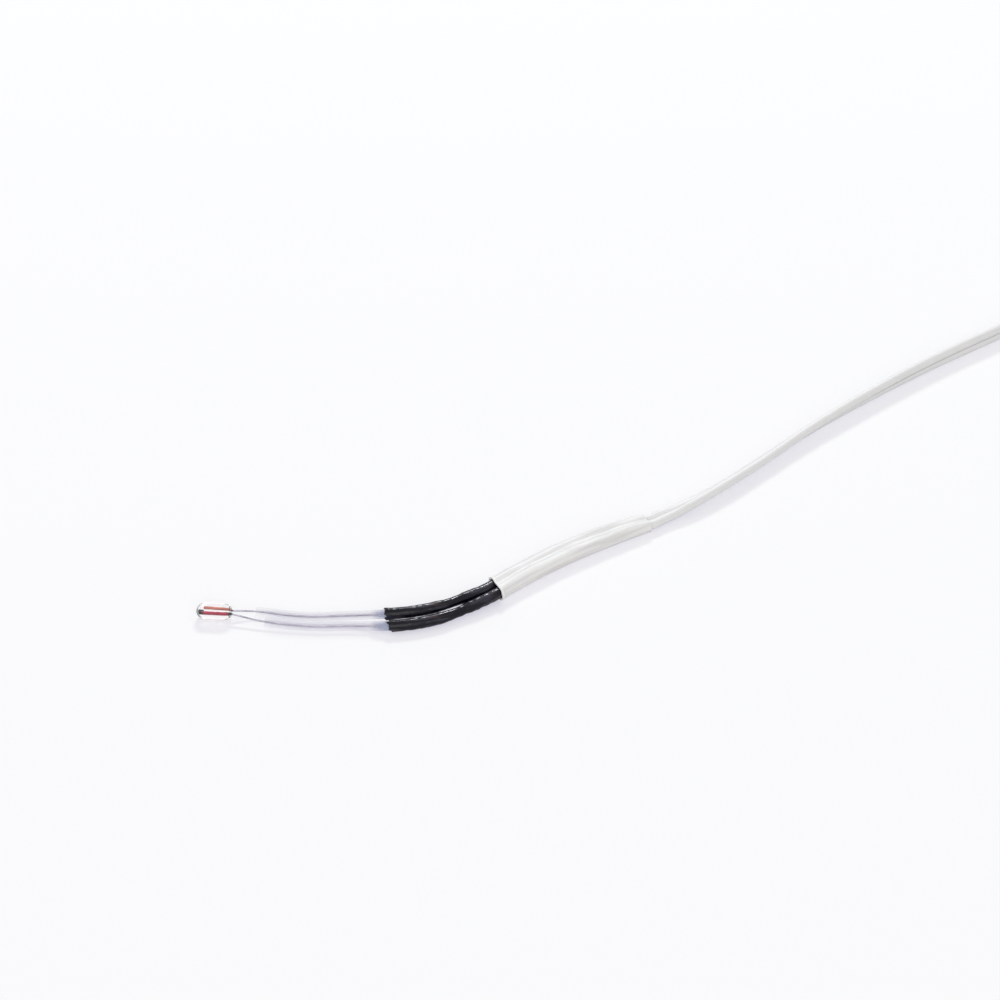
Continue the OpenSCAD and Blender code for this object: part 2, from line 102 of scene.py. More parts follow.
class BeadSizes(PropertyGroup):
    """Sizes of the glass bead, its chip and its leads."""

    glass_r: length("Glass radius", "Radius of the glass bead", 0.95 * MM)
    glass_len: length("Glass length", "Length of the bead from tip to rear", 4.1 * MM)
    rear_cone: length("Rear cone", "Length of the drawn-in rear of the glass", 0.7 * MM)
    rear_r: length("Rear radius", "Radius of the glass at its rear face", 0.65 * MM)
    tip_wall: length("Tip wall", "Glass between the tip and the chip", 0.45 * MM)
    chip_len: length("Chip length", "Length of the chip along the bead", 0.5 * MM)
    chip_w: length("Chip width", "Width of the chip across the bead", 0.5 * MM)
    lead_r: length("Lead radius", "Radius of a lead wire in the glass", 0.15 * MM)
    bare_r: length("Bare radius", "Radius of a lead wire outside the glass", 0.12 * MM)
    lead_gap: length("Lead spacing", "Spacing of the leads beside the chip", 0.62 * MM)
    lead_gap_rear: length("Rear spacing", "Spacing of the leads at the glass's rear", 0.56 * MM)
    lead_roll: turn("Roll", "Angle of the plane through both leads, from lying flat", 0)
    heading: turn("Heading", "Direction of the bead from tip to rear, from +X", -38)
    rear_x: number("Rear X", "X of the glass's rear face", MOUTH_X - 28.4 * MM, "LENGTH")
    rear_y: number("Rear Y", "Y of the glass's rear face", sleeve_y(MOUTH_X) + 13.2 * MM,
                   "LENGTH")


class TubeSizes(PropertyGroup):
    """Sizes of the sleeves, shrink tubes and cores."""

    ptfe_r: length("Sleeve radius", "Outer radius of a lead sleeve", 0.55 * MM)
    ptfe_bore: length("Sleeve bore", "Bore radius of a lead sleeve", 0.3 * MM)
    black_wall: length("Black wall", "Wall of the black tubes", 0.14 * MM)
    black_step: length("Black step", "Length of each step in the black tubes", 0.5 * MM)
    splice_r: length("Splice radius", "Radius of the black tubes' bore over a splice", 0.45 * MM)
    clear: length("Clearance", "Gap between pieces that touch", 0.02 * MM)
    core_lead_in: length("Core lead-in", "Core in the black tube before the white sleeve", 4.3 * MM)
    splice_len: length("Splice length", "Length between sleeve and core", 3.6 * MM)
    ptfe_tuck: length("Sleeve tuck", "Lead sleeve inside the black tube", 5.8 * MM)
    black_tuck: length("Black tuck", "Black tube inside the white sleeve", 12.0 * MM)
    white_wall: length("White wall", "Wall of the white sleeve", 0.18 * MM)
    white_far_h: length("Far height", "Height of the white sleeve where the cable leaves", 1.6 * MM)
    white_dip: length("Ridge dip", "Depth of the dip between the sleeve's ridges", 0.13 * MM)
    white_flare: length("Mouth flare", "How far the white sleeve's mouth turns out", 0.08 * MM)
    bare_lead: length("Bare lead", "Bare lead between glass and sleeve, along X", 2.6 * MM)
    splay: length("Splay", "Half spacing of the leads where they lie widest apart", 1.1 * MM)
    lift: length("Lift", "Half the height of tube a above tube b at their open ends", 0.35 * MM)
    mouth_slant: number("Mouth slant", "Slant of the white sleeve's cut, along by across", 0.25)
    wrinkle: length("Wrinkle height", "Height of the black tubes' wrinkles", 0.014 * MM)


class CableSizes(PropertyGroup):
    """Sizes of the twin lead, its hank and its ends."""

    core_r: length("Core radius", "Radius of each insulated core", 0.55 * MM)
    strand_r: length("Strand radius", "Radius of one of the seven strands", 0.063 * MM)
    valley: length("Valley height", "Half height of the twin lead at its crease", 0.36 * MM)
    twin_tuck: length("Twin tuck", "Twin lead inside the white sleeve", 6.0 * MM)
    hank_r: length("Hank radius", "Radius of the hank's outermost turn", 10.2 * MM)
    hank_run: length("Hank runs", "Length of the hank's straight runs", 17.8 * MM)
    turn_gap: length("Turn gap", "Space between neighbouring turns", 0.05 * MM)
    tie_t: length("Tie thickness", "Thickness of the tie strip", 0.3 * MM)
    tie_w: length("Tie width", "Width of the tie strip", 3.0 * MM)
    strip_len: length("Strip length", "Bare wire at the far end of each core", 5.0 * MM)
    tie_twist_len: length("Tie twist", "Length of the tie's twisted ends", 6.0 * MM)
    clear: length("Clearance", "Gap between the hank and its tie", 0.02 * MM)
    hank_turns: IntProperty(name="Turns", description="Full turns in each layer of the hank",
                            default=5, min=1)


class FinishColours(PropertyGroup):
    """Colours of the finishes."""

    # Near-clear glass tint, warmed pink as a painted reflection of the copper leads
    glass: colour("Glass", "Tint of the glass", (0.992, 0.972, 0.966))
    # Painted dark refraction: the colour tinted into the glass's outline at the tip
    glass_dark_refraction: colour("Glass edge", "Outline of the glass at its tip", (0.01, 0.015, 0.015))
    # Lit and shaded copies of one copper: lead a's is a painted lit salmon, lead b's a painted
    # shaded crimson
    copper_lit_a: colour("Copper a", "Lead a inside the glass", (0.62, 0.22, 0.17))
    copper_shaded_b: colour("Copper b", "Lead b inside the glass", (0.42, 0.03, 0.07))
    # Painted shade: lead b darkened beside the chip, standing in for the tip's dark refraction
    lead_tip_shade: colour("Lead tip", "Lead b beside the chip", (0.02, 0.02, 0.02))
    # Painted dark refraction: the leads darkened where the glass's rear necks round them
    lead_neck_shade: colour("Lead neck", "Leads where they leave the glass", (0.09, 0.075, 0.075))
    dull_lead: colour("Dull lead", "Lead outside the glass", (0.57, 0.54, 0.61))
    chip: colour("Chip", "The chip's dark ceramic", (0.02, 0.025, 0.025))
    sleeve: colour("Sleeve", "The translucent lead sleeves", (0.60, 0.56, 0.69))
    sleeve_mouth: colour("Sleeve at the mouth", "The lead sleeves where the black tubes begin",
                         (0.50, 0.55, 0.72))
    black: colour("Black shrink", "The black tubes", (0.002, 0.002, 0.007))
    # Painted sheen: lighter streaks in the black that stand in for reflections
    black_sheen: colour("Worn black", "Worn streaks on the black tubes", (0.039, 0.039, 0.060))
    # Painted sheen: warm spots in those streaks that stand in for brownish reflections
    black_warm_sheen: colour("Rusty black", "Warm spots in the worn streaks", (0.050, 0.032, 0.036))
    white: colour("White shrink", "The white sleeve", (0.86, 0.85, 0.835))
    insulation: colour("Insulation", "The twin lead", (0.845, 0.835, 0.825))
    tin: colour("Tin", "Tinned strands and solder", (0.62, 0.61, 0.60))
    tie: colour("Tie", "The strip round the hank", (0.72, 0.72, 0.73))


class StageSettings(PropertyGroup):
    """The camera, the floor and the light."""

    azimuth: turn("Azimuth", "Camera's direction round the part, 0 looks along +Y", -33)
    elevation: turn("Elevation", "Camera's height above the surface", 38)
    distance: length("Distance", "Camera's distance from the point it looks at", 342 * MM)
    lens: number("Lens", "Focal length in millimetres", 100.0, "CAMERA")
    look_at: FloatVectorProperty(name="Look at", description="Point in the middle of the picture",
                                 default=(-0.9 * MM, 13.83 * MM, 0.0), size=3,
                                 subtype="TRANSLATION")
    floor_size: length("Floor", "Side of the square floor", 4.0)
    key_power: number("Key power", "Power of the light from behind", 1.1, "POWER")
    fill_power: number("Fill power", "Power of the light from the front", 3.8, "POWER")
    shine_power: number("Shine power", "Power of the light that the gloss shows", 5.3, "POWER")
    world_level: number("World level", "Strength of the even light", 0.48)


SETTINGS = {
    "bead_sizes": BeadSizes,
    "tube_sizes": TubeSizes,
    "cable_sizes": CableSizes,
    "finish_colours": FinishColours,
    "stage_settings": StageSettings,
}

# The twin lead's route before and after the hank: x, y, z in mm, and its twist in degrees
RUN_ROUTE = [(x, sleeve_y(x * MM) / MM, 0.77, 0) for x in (5.04, 6.5, 8, 9.5, 11, 12)] + [
    (13, -0.5, 0.74, -3), (15, -0.48, 0.74, -13), (17, -0.42, 0.85, -25), (20, -0.18, 0.93, -37),
    (24, 0.42, 0.96, -43), (28, 1.2, 0.96, -43), (32, 2.05, 0.97, -45), (38, 3.35, 1.04, -53),
    (44, 4.35, 1.1, -62), (50, 5.15, 1.13, -71), (56, 5.85, 1.14, -79), (62, 6.4, 1.13, -85),
    (68, 6.75, 1.12, -90), (74, 7.05, 1.12, -90), (80, 7.9, 1.12, -90), (84, 8.9, 1.1, -90),
    (88, 10.2, 1.1, -90), (92, 11.3, 1.1, -90), (96, 11.8, 1.1, -90), (98, 11.8, 1.1, -90),
]
TAIL_ROUTE = [
    (98, -8.6, 3.35, -90), (96, -8.6, 3.35, -90), (94, -8.6, 3.35, -90), (92, -8.65, 3, -98),
    (90, -8.7, 2.4, -114), (88, -8.75, 1.8, -132), (86, -8.75, 1.25, -150), (84, -8.7, 0.85, -167),
    (82, -8.6, 0.6, -178), (81, -8.6, 0.57, -180), (80, -8.6, 0.57, -180),
]
# The two split cores' routes: x, y, z in mm
TAIL_CORES = {
    "a": [(80, -9.16, 0.57), (78.5, -9.16, 0.57), (76.5, -9.35, 0.57), (74.5, -9.7, 0.57),
          (72.2, -9.9, 0.57), (70, -9.95, 0.57)],
    "b": [(80, -8.04, 0.57), (78.5, -8.04, 0.57), (76.5, -7.8, 0.57), (74.5, -7.35, 0.57),
          (72.2, -6.95, 0.57), (70, -6.7, 0.57)],
}
# Where the hank starts: the middle of its left ends, and the height in Y of its first run
HANK_X = 98 * MM
HANK_TOP = 11.8 * MM
# Half the length over which its runs lift over the tie, and the twist that stands it on edge
HUMP = 5 * MM
ON_EDGE = -90.0

# Steps round a cut lip, and how far from a slanted cut its slant holds and has faded
LIP_STEPS = 6
CUT_HOLD = 0.2 * MM
CUT_FADE = 2.0 * MM

# How square a section is, as the power of its sine and cosine: 1 is an ellipse, 0 a box
BAND_SIDES = 0.12
STRIP_EDGES = 0.35
CHIP_EDGES = 0.25

WHITE = (1.0, 1.0, 1.0)
# Each lamp's place from the point looked at, its width and height, and its colour
LAMPS = {
    "key": ((-0.35, 0.55, 0.9), (0.7, 0.7), WHITE),
    "fill": ((-0.4, -0.8, 0.6), (0.9, 0.9), WHITE),
    "shine": ((0.52, 0.70, 0.66), (0.25, 0.15), (0.90, 0.94, 1.0)),
}
# The floor's colour for bounced light, and its lit and glowing parts where it is seen
FLOOR_BOUNCE = (0.82, 0.82, 0.83)
FLOOR_FACE = (0.521, 0.541, 0.431)
FLOOR_GLOW = (0.47, 0.45, 0.56)


def mix(a, b, t):
    """a where t is 0, b where t is 1, and straight between them."""
    return a + (b - a) * t


def ease(x, start, end):
    """0 before start, 1 after end, and 3t^2 - 2t^3 between them."""
    t = np.clip((x - start) / (end - start), 0.0, 1.0)
    return t * t * (3.0 - 2.0 * t)


def cubic(t, a, b, slope_a, slope_b):
    """From a where t is 0 to b where t is 1, on the cubic with these slopes at its two ends."""
    return ((2 * t**3 - 3 * t**2 + 1) * a + (t**3 - 2 * t**2 + t) * slope_a
            + (3 * t**2 - 2 * t**3) * b + (t**3 - t**2) * slope_b)


def squared(c, power):
    """A sine or cosine pushed towards a square's sides: sign(c) |c|^power."""
    return np.sign(c) * np.abs(c) ** power


def around(sides):
    """Angles of a ring's corners, evenly round from 0."""
    return np.linspace(0, 2 * math.pi, sides + 1)[:-1]


def stacked(*values):
    """Numbers and arrays spread to one shape and put side by side on a new last axis."""
    return np.stack(np.broadcast_arrays(*values), axis=-1)


def unit(v):
    """Vectors of length 1 along the last axis."""
    return v / np.linalg.norm(v, axis=-1, keepdims=True)


class Path:
    """A curve to carry outlines along: points, distance along, and two directions square to it.

    Across is the level direction square to the curve, and up is square to both.
    """

    def __init__(self, points):
        self.points = np.asarray(points, dtype=float)
        steps = np.linalg.norm(np.diff(self.points, axis=0), axis=1)
        self.s = np.concatenate([[0.0], np.cumsum(steps)])
        along = unit(np.gradient(self.points, self.s, axis=0))
        self.across = unit(np.cross(np.array([0.0, 0.0, 1.0]), along))
        self.up = np.cross(along, self.across)

    def read(self, rows, s):
        """Rows given at the path's points, read at distances s."""
        return np.stack([np.interp(s, self.s, rows[:, i]) for i in range(3)], axis=-1)

    def carry(self, s, across, up):
        """Points at distance s, moved across and up; the three are spread to one shape."""
        s, across, up = np.broadcast_arrays(s, across, up)
        return (self.read(self.points, s) + across[..., None] * unit(self.read(self.across, s))
                + up[..., None] * unit(self.read(self.up, s)))

    def s_at_x(self, x):
        """Distance along at which the path reaches x."""
        return float(np.interp(x, self.points[:, 0], self.s))


def smooth_route(rows, per_span):
    """Rows joined by cubics whose slope at each row runs from the row before to the row after."""
    rows = np.asarray(rows, dtype=float)
    before = np.vstack([2 * rows[0] - rows[1], rows[:-1]])
    after = np.vstack([rows[1:], 2 * rows[-1] - rows[-2]])
    slope = (after - before) / 2.0
    t = (np.arange(per_span) / per_span)[None, :, None]
    spans = cubic(t, rows[:-1, None], rows[1:, None], slope[:-1, None], slope[1:, None])
    return np.vstack([spans.reshape(-1, rows.shape[1]), rows[-1]])


def black_radius(tube, cable):
    """Outer radius of a black tube where it is widest."""
    return max(tube.ptfe_r, cable.core_r) + tube.clear + tube.black_wall


def splice_places(tube):
    """X where a black tube begins, where its lead sleeve ends, and where its core begins."""
    core_x = MOUTH_X - tube.core_lead_in
    splice_x = core_x - tube.splice_len
    return splice_x - tube.ptfe_tuck, splice_x, core_x


def wire_knots(bead, tube, cable, side):
    """Knots of one wire, from the glass's rear to the point where the cores join.

    The first seven lie between glass and white sleeve, at shares of the reach and the swing,
    with tube a lying higher than tube b; the others lie side by side in the sleeve.
    """
    clear, lift, splay = tube.clear, tube.lift, tube.splay
    black_r = black_radius(tube, cable)
    split, black_end = EXIT_X - cable.twin_tuck, MOUTH_X + tube.black_tuck
    low, black_low = tube.ptfe_r + 0.07 * MM, black_r + 0.02 * MM
    in_white = tube.white_wall + 2 * clear + black_r
    in_far = tube.white_wall + 2 * clear + cable.core_r
    reach, mouth_y = MOUTH_X - bead.rear_x, sleeve_y(MOUTH_X)
    swing = bead.rear_y - mouth_y
    # Shares of reach and swing, half the spacing, height, and how far a lies above it, b below
    in_the_open = (
        (0.908, 0.830, splay, low + 0.06 * MM, 0),
        (0.768, 0.563, 0.94 * splay, low, 0.02 * MM),
        (0.616, 0.351, 0.91 * splay, low + 0.06 * MM, 0.06 * MM),
        (0.486, 0.142, black_r + 0.05 * MM, black_low + lift, lift),
        (0.366, 0.029, black_r, black_low + lift, lift),
        (0.246, -0.019, black_r, black_low + 0.8 * lift, 0.75 * lift),
        (0.106, -0.019, black_r + 0.04 * MM, in_white, 0.15 * lift),
    )
    rows = [(MOUTH_X - k * reach, mouth_y + m * swing, *rest) for k, m, *rest in in_the_open]
    tube_shares = (0, 0.08, 0.3, 0.55, 0.8, 1)
    tubes = [MOUTH_X - 1 * MM] + [MOUTH_X + share * tube.black_tuck for share in tube_shares]
    cores = [mix(black_end, split, 0.7), split, split + 2 * MM]
    for xs, half, z in ((tubes, black_r + clear / 2, in_white),
                        (cores, cable.core_r + clear / 2, in_far)):
        rows += [(x, sleeve_y(x), half * sleeve_w(x), z, 0) for x in xs]
    knots = [(x, y + side * dy, z + side * dz) for x, y, dy, z, dz in rows]
    return np.vstack([bead_point(bead, side, bead.glass_len), np.array(knots)])


def knot_curve(knots, x):
    """y and z as cubics of x between each two knots, with slopes from the knots on either side."""
    kx = knots[:, 0]
    slope = np.gradient(knots, axis=0)
    slope = slope / slope[:, :1]
    lo = np.clip(np.searchsorted(kx, x, side="right") - 1, 0, len(kx) - 2)
    h = (kx[lo + 1] - kx[lo])[:, None]
    t = (x - kx[lo])[:, None] / h
    points = cubic(t, knots[lo], knots[lo + 1], h * slope[lo], h * slope[lo + 1])
    points[:, 0] = x
    return points


def bead_axes(bead):
    """Rows: along the bead, square to it in the leads' plane, and square to both."""
    h, r = bead.heading, bead.lead_roll
    along = np.array([math.cos(h), math.sin(h), 0.0])
    spread = np.array([-math.sin(h) * math.cos(r), math.cos(h) * math.cos(r), math.sin(r)])
    return np.array([along, spread, np.cross(along, spread)])


def bead_tip(bead):
    """The glass's tip."""
    rear = np.array([bead.rear_x, bead.rear_y, bead.glass_r])
    return rear - bead.glass_len * bead_axes(bead)[0]


def bead_point(bead, side, u):
    """Middle of one lead inside the glass, u from the tip; the leads draw together to the rear."""
    along, spread, _ = bead_axes(bead)
    k = (u - bead.tip_wall) / (bead.glass_len - bead.tip_wall)
    gap = mix(bead.lead_gap, bead.lead_gap_rear, k)
    return bead_tip(bead) + u * along + side * gap / 2 * spread


def wire_path(bead, tube, cable, side):
    """The whole curve of one wire, from beside the chip to the point where the cores join.

    It is straight in the glass to just short of its rear, and cubics from just past it.
    """
    knots = wire_knots(bead, tube, cable, side)
    inside = np.linspace(bead.tip_wall, bead.glass_len - 0.05 * MM, 12)
    outside = np.linspace(knots[0, 0] + 0.15 * MM, EXIT_X - cable.twin_tuck, 420)
    start = bead_point(bead, side, inside[:, None])
    return Path(np.vstack([start, knot_curve(knots, outside)]))


def make_piece(name, verts, faces, lay):
    """A mesh object from whole arrays, shaded smooth.

    lay is an attribute: distance along the piece, then across and up from its middle line.
    """
    mesh = bpy.data.meshes.new(name)
    sizes = np.concatenate([np.full(len(f), f.shape[1]) for f in faces])
    corners = np.concatenate([f.ravel() for f in faces])
    mesh.vertices.add(len(verts))
    mesh.vertices.foreach_set("co", np.asarray(verts, dtype=np.float32).ravel())
    mesh.loops.add(len(corners))
    mesh.loops.foreach_set("vertex_index", corners.astype(np.int32))
    mesh.polygons.add(len(sizes))
    starts = np.concatenate([[0], np.cumsum(sizes)[:-1]])
    mesh.polygons.foreach_set("loop_start", starts.astype(np.int32))
    layer = mesh.attributes.new("lay", "FLOAT_VECTOR", "POINT")
    layer.data.foreach_set("vector", np.asarray(lay, dtype=np.float32).ravel())
    mesh.update(calc_edges=True)
    mesh.validate()
    mesh.polygons.foreach_set("use_smooth", np.full(len(mesh.polygons), True))
    piece = bpy.data.objects.new(name, mesh)
    bpy.context.scene.collection.objects.link(piece)
    return piece


def ring_faces(rings, sides, loop):
    """Quads between neighbouring rings, and between the last and the first if it is a loop."""
    i = np.arange(rings if loop else rings - 1)[:, None]
    j = np.arange(sides)[None, :]
    k, m = (i + 1) % rings, (j + 1) % sides
    return stacked(i * sides + j, i * sides + m, k * sides + m, k * sides + j).reshape(-1, 4)


def cap_faces(first, sides, pole, flip):
    """A fan from the ring that starts at first to a pole."""
    j = np.arange(sides)
    ring = stacked(first + j, first + (j + 1) % sides, pole)
    return ring[:, ::-1] if flip else ring


def outward(verts, faces):
    """The faces of a closed skin, turned over if they point inwards."""
    tris = np.vstack([f[:, [0, i, i + 1]] for f in faces for i in range(1, f.shape[1] - 1)])
    a, b, c = (verts[tris[:, i]] - verts.mean(axis=0) for i in range(3))
    inwards = np.einsum("ij,ij->", a, np.cross(b, c)) < 0
    return [f[:, ::-1] for f in faces] if inwards else faces


def joined_piece(name, parts):
    """One piece from several (grid, lay, loop): a loop closes on itself, others get end fans."""
    all_verts, all_lays, quads, fans, base = [], [], [], [], 0
    for grid, lay, loop in parts:
        rings, sides = grid.shape[:2]
        count = rings * sides
        verts, lays = grid.reshape(-1, 3), lay.reshape(-1, 3)
        faces = [ring_faces(rings, sides, loop)]
        if not loop:
            verts = np.vstack([verts, grid[0].mean(axis=0), grid[-1].mean(axis=0)])
            lays = np.vstack([lays, lay[0].mean(axis=0), lay[-1].mean(axis=0)])
            faces.append(np.vstack([
                cap_faces(0, sides, pole=count, flip=True),
                cap_faces(count - sides, sides, pole=count + 1, flip=False)]))
        faces = outward(verts, faces)
        quads.append(faces[0] + base)
        fans += [f + base for f in faces[1:]]
        all_verts.append(verts)
        all_lays.append(lays)
        base += len(verts)
    faces = [np.vstack(quads)] + ([np.vstack(fans)] if fans else [])
    return make_piece(name, np.vstack(all_verts), faces, np.vstack(all_lays))


def closed_piece(name, grid, lay):
    """A piece from rings of points, closed at both ends by a fan to the ring's middle."""
    return joined_piece(name, [(grid, lay, False)])


def carried(path, s, across, up):
    """The points of an outline that is carried along a path, and their lay."""
    return path.carry(s, across, up), stacked(s, across, up)


def walled_piece(name, path, s, outer, inner, lip, near=0.0, far=0.0):
    """A tube with a wall: out along the outside, round the lip, back along the inside and round.

    s is the row of distances; outer and inner give across and up at (s, angle); lip rounds the
    cut ends with half circles; near and far move the first and the last cut along the tube, by
    angle, and fade out CUT_FADE from their ends. The lay keeps the distances before that.
    """
    outer, inner = np.array(outer), np.array(inner)
    turns = np.linspace(0, math.pi, LIP_STEPS + 1)[1:-1]
    inwards = ((1 - np.cos(turns)) / 2)[:, None]
    far_lip = mix(outer[:, -1:], inner[:, -1:], inwards)
    near_lip = mix(inner[:, :1], outer[:, :1], inwards)
    across, up = np.concatenate([outer, far_lip, inner[:, ::-1], near_lip], axis=1)
    proud = lip * np.sin(turns)
    uncut = np.concatenate([s, s[-1] + proud, s[::-1], s[0] - proud])[:, None]
    dist = (uncut + near * (1 - ease(uncut, s[0] + CUT_HOLD, s[0] + CUT_FADE))
            + far * ease(uncut, s[-1] - CUT_FADE, s[-1] - CUT_HOLD))
    grid = path.carry(dist, across, up)
    return joined_piece(name, [(grid, stacked(uncut, across, up), True)])


def round_outline(radius, angle):
    """Across and up of circles with one radius, one per ring, or one per ring and angle."""
    radius = np.asarray(radius)
    radius = radius[:, None] if radius.ndim == 1 else radius
    return radius * np.cos(angle), radius * np.sin(angle)


def waves(s, angle, seed, count, shortest, longest):
    """Sum of count sine waves in distance and angle, with random lengths and phases, about 0."""
    random = np.random.default_rng(seed)
    total = np.zeros(np.broadcast(s, angle).shape)
    for _ in range(count):
        wave_length = random.uniform(shortest, longest)
        round_count = random.integers(-3, 4)
        phase = random.uniform(0, 2 * math.pi)
        total += np.sin(2 * math.pi * s / wave_length + round_count * angle + phase)
    return total / math.sqrt(count)


def finish_piece(piece, slot, finish, *nodes):
    """Gives a piece its body and finish, and has it stand for its CAD nodes; slot is not used."""
    piece.data.materials.append(finish)
    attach(piece, BODY)
    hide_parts(*nodes)


# Finishes


class Finish:
    """A procedural material: one Principled shader and the nodes that feed it."""

    def __init__(self, name, base, roughness, **inputs):
        self.material = bpy.data.materials.new(name)
        self.material.use_nodes = True
        self.tree = self.material.node_tree
        self.shader = self.tree.nodes["Principled BSDF"]
        self.set("Base Color", base)
        self.set("Roughness", roughness)
        for key, value in inputs.items():
            self.set(key.replace("_", " "), value)

    def put(self, value, target):
        """Links a socket to a node's input, or writes a number, vector or colour there."""
        if isinstance(value, bpy.types.NodeSocket):
            self.tree.links.new(value, target)
        else:
            target.default_value = (*value, 1.0) if target.type == "RGBA" else value

    def set(self, name, value):
        """Gives one of the shader's inputs a value or a socket."""
        self.put(value, self.shader.inputs[name])

    def node(self, kind, inputs=(), **settings):
        """A new node with its settings and its inputs, which are values or sockets."""
        node = self.tree.nodes.new(kind)
        for key, value in settings.items():
            setattr(node, key, value)
        for key, value in dict(inputs).items():
            self.put(value, node.inputs[key])
        return node

    def whole_lay(self):
        """The piece's lay: distance along it, then across and up from its middle line."""
        return self.node("ShaderNodeAttribute", attribute_name="lay").outputs["Vector"]

    def lay(self, axis):
        """One number of the piece's lay: X along it, Y across it or Z up."""
        return self.node("ShaderNodeSeparateXYZ", {"Vector": self.whole_lay()}).outputs[axis]

    def noise(self, scale, detail, roughness=0.55, on_lay=True):
        """Noise on the lay or on object coordinates; scale is in waves per metre along each."""
        place = (self.whole_lay() if on_lay
                 else self.node("ShaderNodeTexCoord").outputs["Object"])
        mapping = self.node("ShaderNodeMapping", {"Vector": place, "Scale": scale})
        noise = self.node("ShaderNodeTexNoise", {
            "Vector": mapping.outputs["Vector"], "Scale": 1.0, "Detail": detail,
            "Roughness": roughness})
        return noise.outputs["Fac"]

    def spread(self, value, low, high, to_low=0.0, to_high=1.0):
        """Maps low..high of a value to to_low..to_high, clamped."""
        node = self.node("ShaderNodeMapRange", {
            "Value": value, "From Min": low, "From Max": high, "To Min": to_low,
            "To Max": to_high})
        return node.outputs["Result"]

    def maths(self, operation, a, b=0.0):
        """A Math node of two values."""
        return self.node("ShaderNodeMath", {0: a, 1: b}, operation=operation).outputs[0]

    def mixed(self, fac, low, high, blend="MIX"):
        """low where fac is 0 and high where it is 1; each is a colour or a socket."""
        node = self.node("ShaderNodeMix", {"Factor": fac}, data_type="RGBA", blend_type=blend)
        for socket, value in zip([s for s in node.inputs if s.type == "RGBA"], (low, high)):
            self.put(value, socket)
        return [s for s in node.outputs if s.type == "RGBA"][0]

    def tint(self, fac, low, high):
        """Feeds the base colour with a mix of two colours."""
        self.set("Base Color", self.mixed(fac, low, high))

    def ramp(self, value, stops):
        """A colour for each value: stops are (value, colour), with straight blends between."""
        first, last = stops[0][0], stops[-1][0]
        node = self.node("ShaderNodeValToRGB", {"Fac": self.spread(value, first, last)})
        points = node.color_ramp.elements
        points[0].color, points[1].color = (*stops[0][1], 1.0), (*stops[-1][1], 1.0)
        for at, stop_colour in stops[1:-1]:
            points.new((at - first) / (last - first)).color = (*stop_colour, 1.0)
        return node.outputs["Color"]

    def bump(self, height, distance, strength, after=None):
        """Tilts the normal by a height field, distance in metres, on top of another bump."""
        inputs = {"Height": height, "Distance": distance, "Strength": strength}
        if after is not None:
            inputs["Normal"] = after
        normal = self.node("ShaderNodeBump", inputs).outputs["Normal"]
        self.set("Normal", normal)
        return normal


def shade(base, factor):
    """A colour made darker or lighter."""
    return tuple(min(1.0, c * factor) for c in base)


def glass_finish(colours):
    """Clear glass with a painted dark refraction as its outline at the tip, strongest on lead b's
    side.
    """
    # The base colour is the glass tint, warmed pink as a painted reflection of the copper leads
    finish = Finish("bead_glass", colours.glass, 0.02, IOR=1.5, Transmission_Weight=1.0)
    facing = finish.node("ShaderNodeLayerWeight", {"Blend": 0.5}).outputs["Facing"]
    # Painted dark refraction: the glass tinted dark where it turns from the view near the tip, most
    # on lead b's side
    edge = finish.spread(facing, 0.32, 0.52)
    tip = finish.spread(finish.lay("X"), 0.45 * MM, 0.95 * MM, 1.0, 0.08)
    side_b = finish.spread(finish.lay("Y"), -0.45 * MM, 0.25 * MM, 1.0, 0.25)
    dark = finish.maths("MULTIPLY", finish.maths("MULTIPLY", edge, tip), side_b)
    finish.tint(dark, colours.glass, colours.glass_dark_refraction)
    return finish.material


def copper_finish(name, red, shaded_tip, colours):
    """Copper-clad wire: red and streaky in the glass, darkened by painted dark refraction where it
    leaves, dull grey outside.

    The lay's first number is 0 at the chip; shaded_tip is how far the wire is darkened by painted
    shade beside it.
    """
    bead = bpy.context.scene.bead_sizes
    finish = Finish(name, red, 0.4, Metallic=0.5)
    rear = bead.glass_len - bead.tip_wall
    # Bands along the wire: painted shade beside the chip, red, painted dark refraction at the neck,
    # dull grey
    tip = [(0.0, colours.lead_tip_shade), (shaded_tip, colours.lead_tip_shade)] if shaded_tip else [(0.0, red)]
    bands = finish.ramp(finish.lay("X"), tip + [
        (shaded_tip + 0.2 * MM, red), (rear - 0.45 * MM, red), (rear - 0.25 * MM, colours.lead_neck_shade),
        (rear + 0.12 * MM, colours.lead_neck_shade), (rear + 0.3 * MM, colours.dull_lead)])
    streak = finish.noise((900.0, 4000.0, 4000.0), 2.0)
    wear_and_sheen = finish.spread(streak, 0.3, 0.65, 0.6, 1.0)
    finish.set("Base Color", finish.mixed(1.0, bands, wear_and_sheen, "MULTIPLY"))
    finish.bump(streak, 0.01 * MM, 0.4)
    return finish.material


def chip_finish(colours):
    """Dark sintered ceramic with a fine grain."""
    finish = Finish("chip", colours.chip, 0.35)
    grain = finish.noise((9000.0, 9000.0, 9000.0), 4.0, on_lay=False)
    finish.tint(grain, colours.chip, shade(colours.chip, 3.0))
    finish.bump(grain, 0.01 * MM, 0.5)
    return finish.material


def sleeve_finish(colours, start_s, mouth_s):
    """Clear tube with a milky cast and fine lines, bluer and denser by the black tube's mouth."""
    finish = Finish("clear_sleeve", colours.sleeve, 0.22, IOR=1.36)
    lines = finish.noise((150.0, 3500.0, 3500.0), 3.0)
    near_mouth = finish.spread(finish.lay("X"), mouth_s - 1.8 * MM, mouth_s)
    pale = finish.mixed(lines, shade(colours.sleeve, 0.92), shade(colours.sleeve, 1.06))
    finish.tint(near_mouth, pale, colours.sleeve_mouth)
    from_start = finish.spread(finish.lay("X"), start_s, start_s + 2.5 * MM, 0.35, 1.0)
    cast = finish.spread(near_mouth, 0.0, 1.0, 0.12, 0.6)
    finish.set("Alpha", finish.maths("MULTIPLY", cast, from_start))
    finish.bump(lines, 0.012 * MM, 0.5)
    return finish.material


